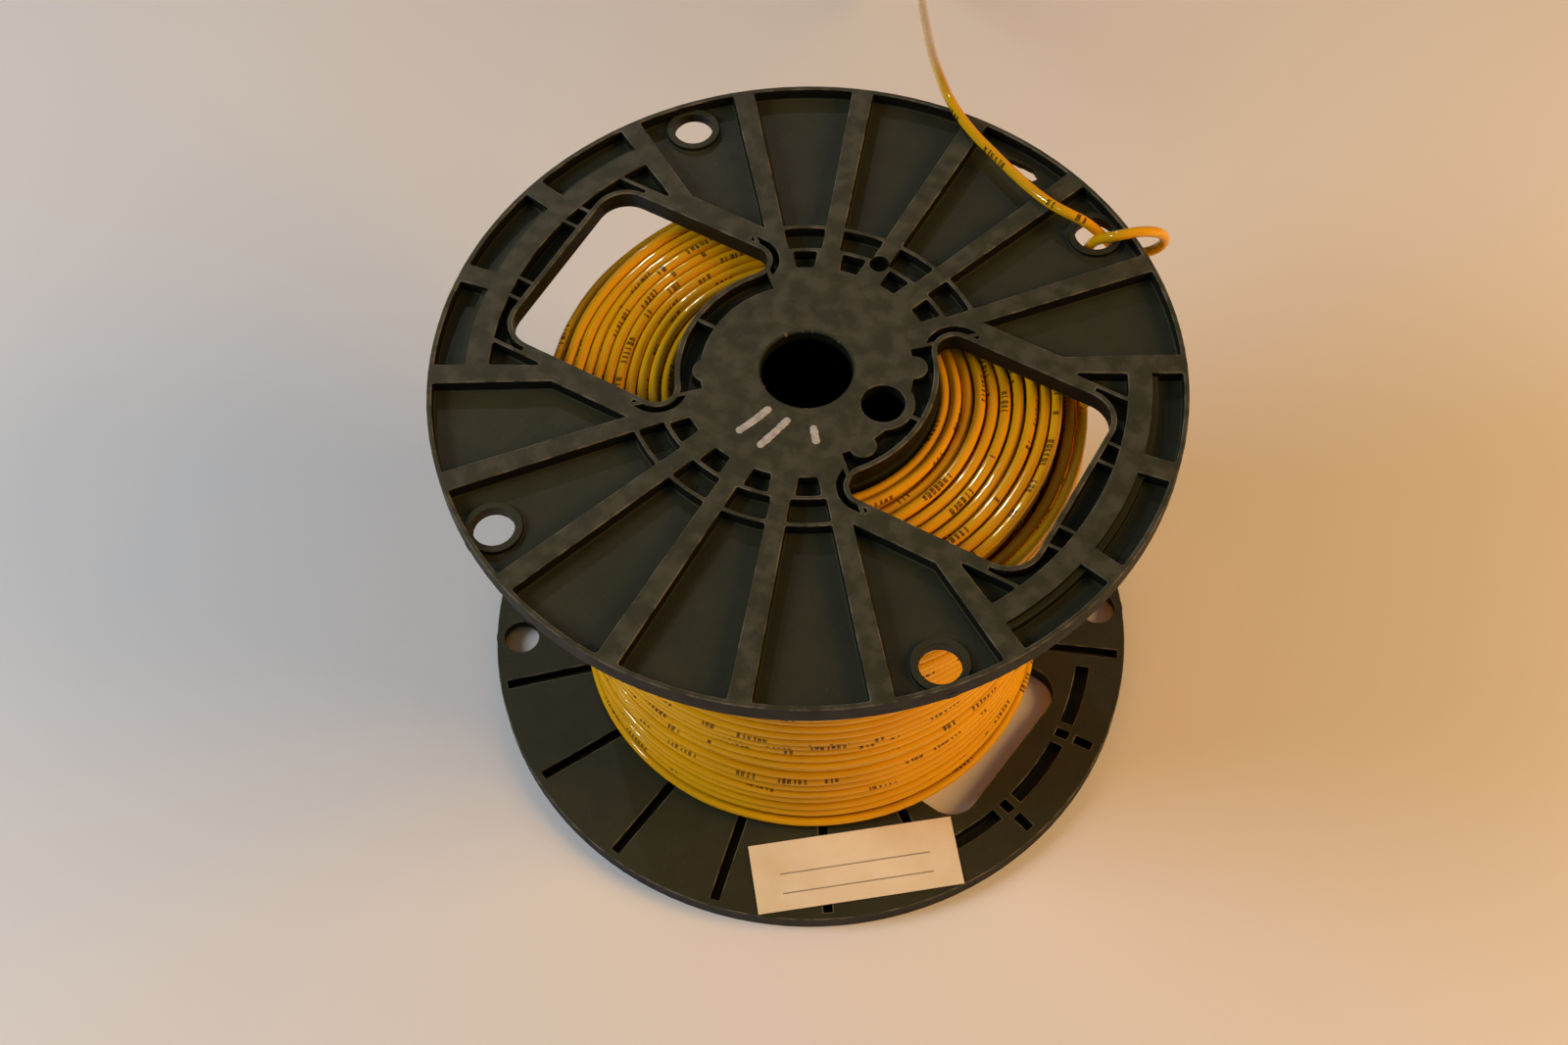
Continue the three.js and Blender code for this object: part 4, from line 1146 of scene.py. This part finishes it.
def paper_label():
    """A thin sheet, a little sprung at two corners, with fine rows for the ruled lines."""
    half_x, half_y = LABEL_SIZE[0] / 2, LABEL_SIZE[1] / 2
    columns = np.linspace(-half_x, half_x, LABEL_STEPS[0] + 1)
    rows = set(np.linspace(-half_y, half_y, LABEL_STEPS[1] + 1))
    for line in RULED_LINES:
        rows |= {line - RULED_WIDTH / 2, line + RULED_WIDTH / 2}
    rows = sorted(rows)
    built = bmesh.new()
    grid = [[built.verts.new((x, y, label_height(x, y))) for x in columns] for y in rows]
    for low, high in zip(grid, grid[1:]):
        for a, b, c, d in zip(low, low[1:], high[1:], high):
            built.faces.new((a, b, c, d))
    mesh = bpy.data.meshes.new("paper_label")
    built.to_mesh(mesh)
    built.free()
    ruled = mesh.attributes.new("ruled", "FLOAT", "FACE")
    values = []
    for face in mesh.polygons:
        x, y = face.center.xy
        near = any(abs(y - line) < RULED_WIDTH / 2 for line in RULED_LINES)
        values.append(1.0 if near and abs(x) < RULED_LENGTH / 2 else 0.0)
    ruled.data.foreach_set("value", values)
    label = place_mesh("paper_label", mesh)
    thickness = label.modifiers.new("thickness", "SOLIDIFY")
    thickness.thickness = LABEL_THICKNESS
    thickness.offset = 1.0
    label.data = evaluated_mesh(label)
    label.modifiers.clear()
    seat = Matrix.Translation((*LABEL_MIDDLE, FLANGE_THICKNESS + SEAT_GAP / 2))
    label.data.transform(seat @ Matrix.Rotation(LABEL_TURN, 4, "Z"))
    smooth(label.data, FLAT_EDGES)
    return label


dress(paper_label(), PAPER, "label_paper", "label")

# ---- Marker strokes on the hub ----

STROKE_WIDTH = 1.7 * MM
STROKE_HEIGHT = 0.12 * MM
STROKE_SINK = 0.02 * MM  # into the hub, so that no gap shows
STROKE_TAPER = 0.2 * MM  # at the top
STROKE_SHOULDER = 0.6  # share of the height at which the taper starts
STROKE_PITCH = 0.4 * MM
STROKE_UNEVEN = 0.12  # share of the width
TIP_STEP = 20 * DEGREE
STROKES = [  # each by the points that it passes, in millimetres from the spool's axis
    [(-2, -13.5), (-3.2, -17.5), (-4.6, -21)],
    [(3, -14), (2.2, -18), (1.2, -22)],
    [(9, -13), (11, -15.5)],
]


def marker_stroke(points, seed):
    """One flat stroke with round ends, its edge a little uneven."""
    line = spaced(curve_through([(x * MM, y * MM, 0) for x, y in points]), STROKE_PITCH)
    rng = np.random.default_rng(seed)
    left, right = [], []
    along = np.gradient(line, axis=0)
    for point, direction in zip(line, along):
        normal = Vector((direction[1], -direction[0])).normalized()
        width = STROKE_WIDTH / 2 * (1 + rng.uniform(-STROKE_UNEVEN, STROKE_UNEVEN))
        left.append(Vector(point[:2]) - normal * width)
        right.append(Vector(point[:2]) + normal * width)
    first, last = Vector(line[0][:2]), Vector(line[-1][:2])
    heading = math.atan2(along[-1][1], along[-1][0])
    start = math.atan2(along[0][1], along[0][0])
    tip = arc(last, STROKE_WIDTH / 2, heading - math.pi / 2, heading + math.pi / 2, TIP_STEP)[1:-1]
    tail = arc(first, STROKE_WIDTH / 2, start + math.pi / 2, start + 3 * math.pi / 2, TIP_STEP)[1:-1]
    levels = [(SPOOL_WIDTH - STROKE_SINK, 0), (SPOOL_WIDTH + STROKE_HEIGHT * STROKE_SHOULDER, 0),
              (SPOOL_WIDTH + STROKE_HEIGHT, -STROKE_TAPER)]
    return solid(right + tip + left[::-1] + tail, levels)


strokes = marker_stroke(STROKES[0], 1)
strokes = joined(strokes, *(marker_stroke(points, k) for k, points in enumerate(STROKES[1:], 2)))
strokes.name = "marker_strokes"
smooth(strokes.data, FLAT_EDGES)
dress(strokes, PAINT, "label_paper")

# ---- Floor and light ----

PAPER_WAVE = 0.35  # metres, of the backdrop's faint blotches
PALE_FROM, PALE_TO = 0.4, 1.7  # metres from the spool, between which the backdrop starts to shine
PALE_STRENGTH = 0.7


def floor_material():
    """Pale paper backdrop: matt and even.

    Where the lamps don't reach, the camera sees it as pale as near the spool.
    """
    material, tree, principled = shader("backdrop_paper", 0.9, Emission_Color="#E6E6E2")
    tone = add(tree, RANGE, (pattern(tree, PAPER_WAVE, 2.0), 0.3, 0.7))
    base = add(tree, MIX, (tone, "#F0EFEA", "#F4F3EE"), data_type="RGBA")
    place = add(tree, "ShaderNodeTexCoord").outputs["Object"]
    away = add(tree, VECTORS, (place,), operation="LENGTH")
    far = add(tree, RANGE, (away, PALE_FROM, PALE_TO, 0.0, PALE_STRENGTH))
    seen = add(tree, "ShaderNodeLightPath").outputs["Is Camera Ray"]
    pale = add(tree, MATH, (seen, far), operation="MULTIPLY")
    feed(tree, principled, {"Base Color": base, "Emission Strength": pale})
    return material


FLOOR_REACH = 4.0  # metres each way
FLOOR_GAP = 0.02 * MM  # below the spool's feet
floor_mesh = bpy.data.meshes.new("floor")
floor_corners = rectangle(-FLOOR_REACH, FLOOR_REACH, -FLOOR_REACH, FLOOR_REACH)
floor_mesh.from_pydata([(*corner, -FLOOR_GAP) for corner in floor_corners], [], [(0, 1, 2, 3)])
floor = place_mesh("floor", floor_mesh)
floor_mesh.materials.append(floor_material())


def studio_lamp(name, place, size, power, colour, glint=False):
    """A square lamp that faces the spool.

    A soft lamp lights it, and a small glint lamp only shows in its gloss.
    """
    data = bpy.data.lights.new(name, "AREA")
    data.size = size
    data.energy = power
    data.color = linear(colour)[:3]
    lamp = bpy.data.objects.new(name, data)
    bpy.context.scene.collection.objects.link(lamp)
    lamp.location = place
    lamp.visible_diffuse = not glint
    lamp.visible_glossy = glint
    towards_spool = Vector((0, 0, SPOOL_WIDTH / 2)) - Vector(place)
    lamp.rotation_euler = towards_spool.to_track_quat("-Z", "Y").to_euler()


studio_lamp("window_light", (-0.6, -0.42, 0.54), 0.4, 4.0, "#F1F5FF")
studio_lamp("warm_light", (0.74, 0.24, 0.5), 0.5, 6.9, "#FFC272")
studio_lamp("back_glint", (-0.72, 0.62, 0.66), 0.035, 2.4, "#FFFAF0", glint=True)
studio_lamp("front_glint", (-0.57, -0.478, 0.67), 0.035, 2.0, "#FFFAF0", glint=True)

WORLD_LIGHT = 0.13  # strength on the spool
WORLD_SEEN = 0.78  # strength that the camera sees past the backdrop
world = bpy.data.worlds.new("studio")
world.use_nodes = True
sky = world.node_tree
seen = add(sky, "ShaderNodeLightPath").outputs["Is Camera Ray"]
strength = add(sky, RANGE, (seen, 0.0, 1.0, WORLD_LIGHT, WORLD_SEEN))
feed(sky, sky.nodes["Background"], {"Color": "#EEF0F4", "Strength": strength})
bpy.context.scene.world = world
bpy.context.scene.view_settings.view_transform = "Standard"
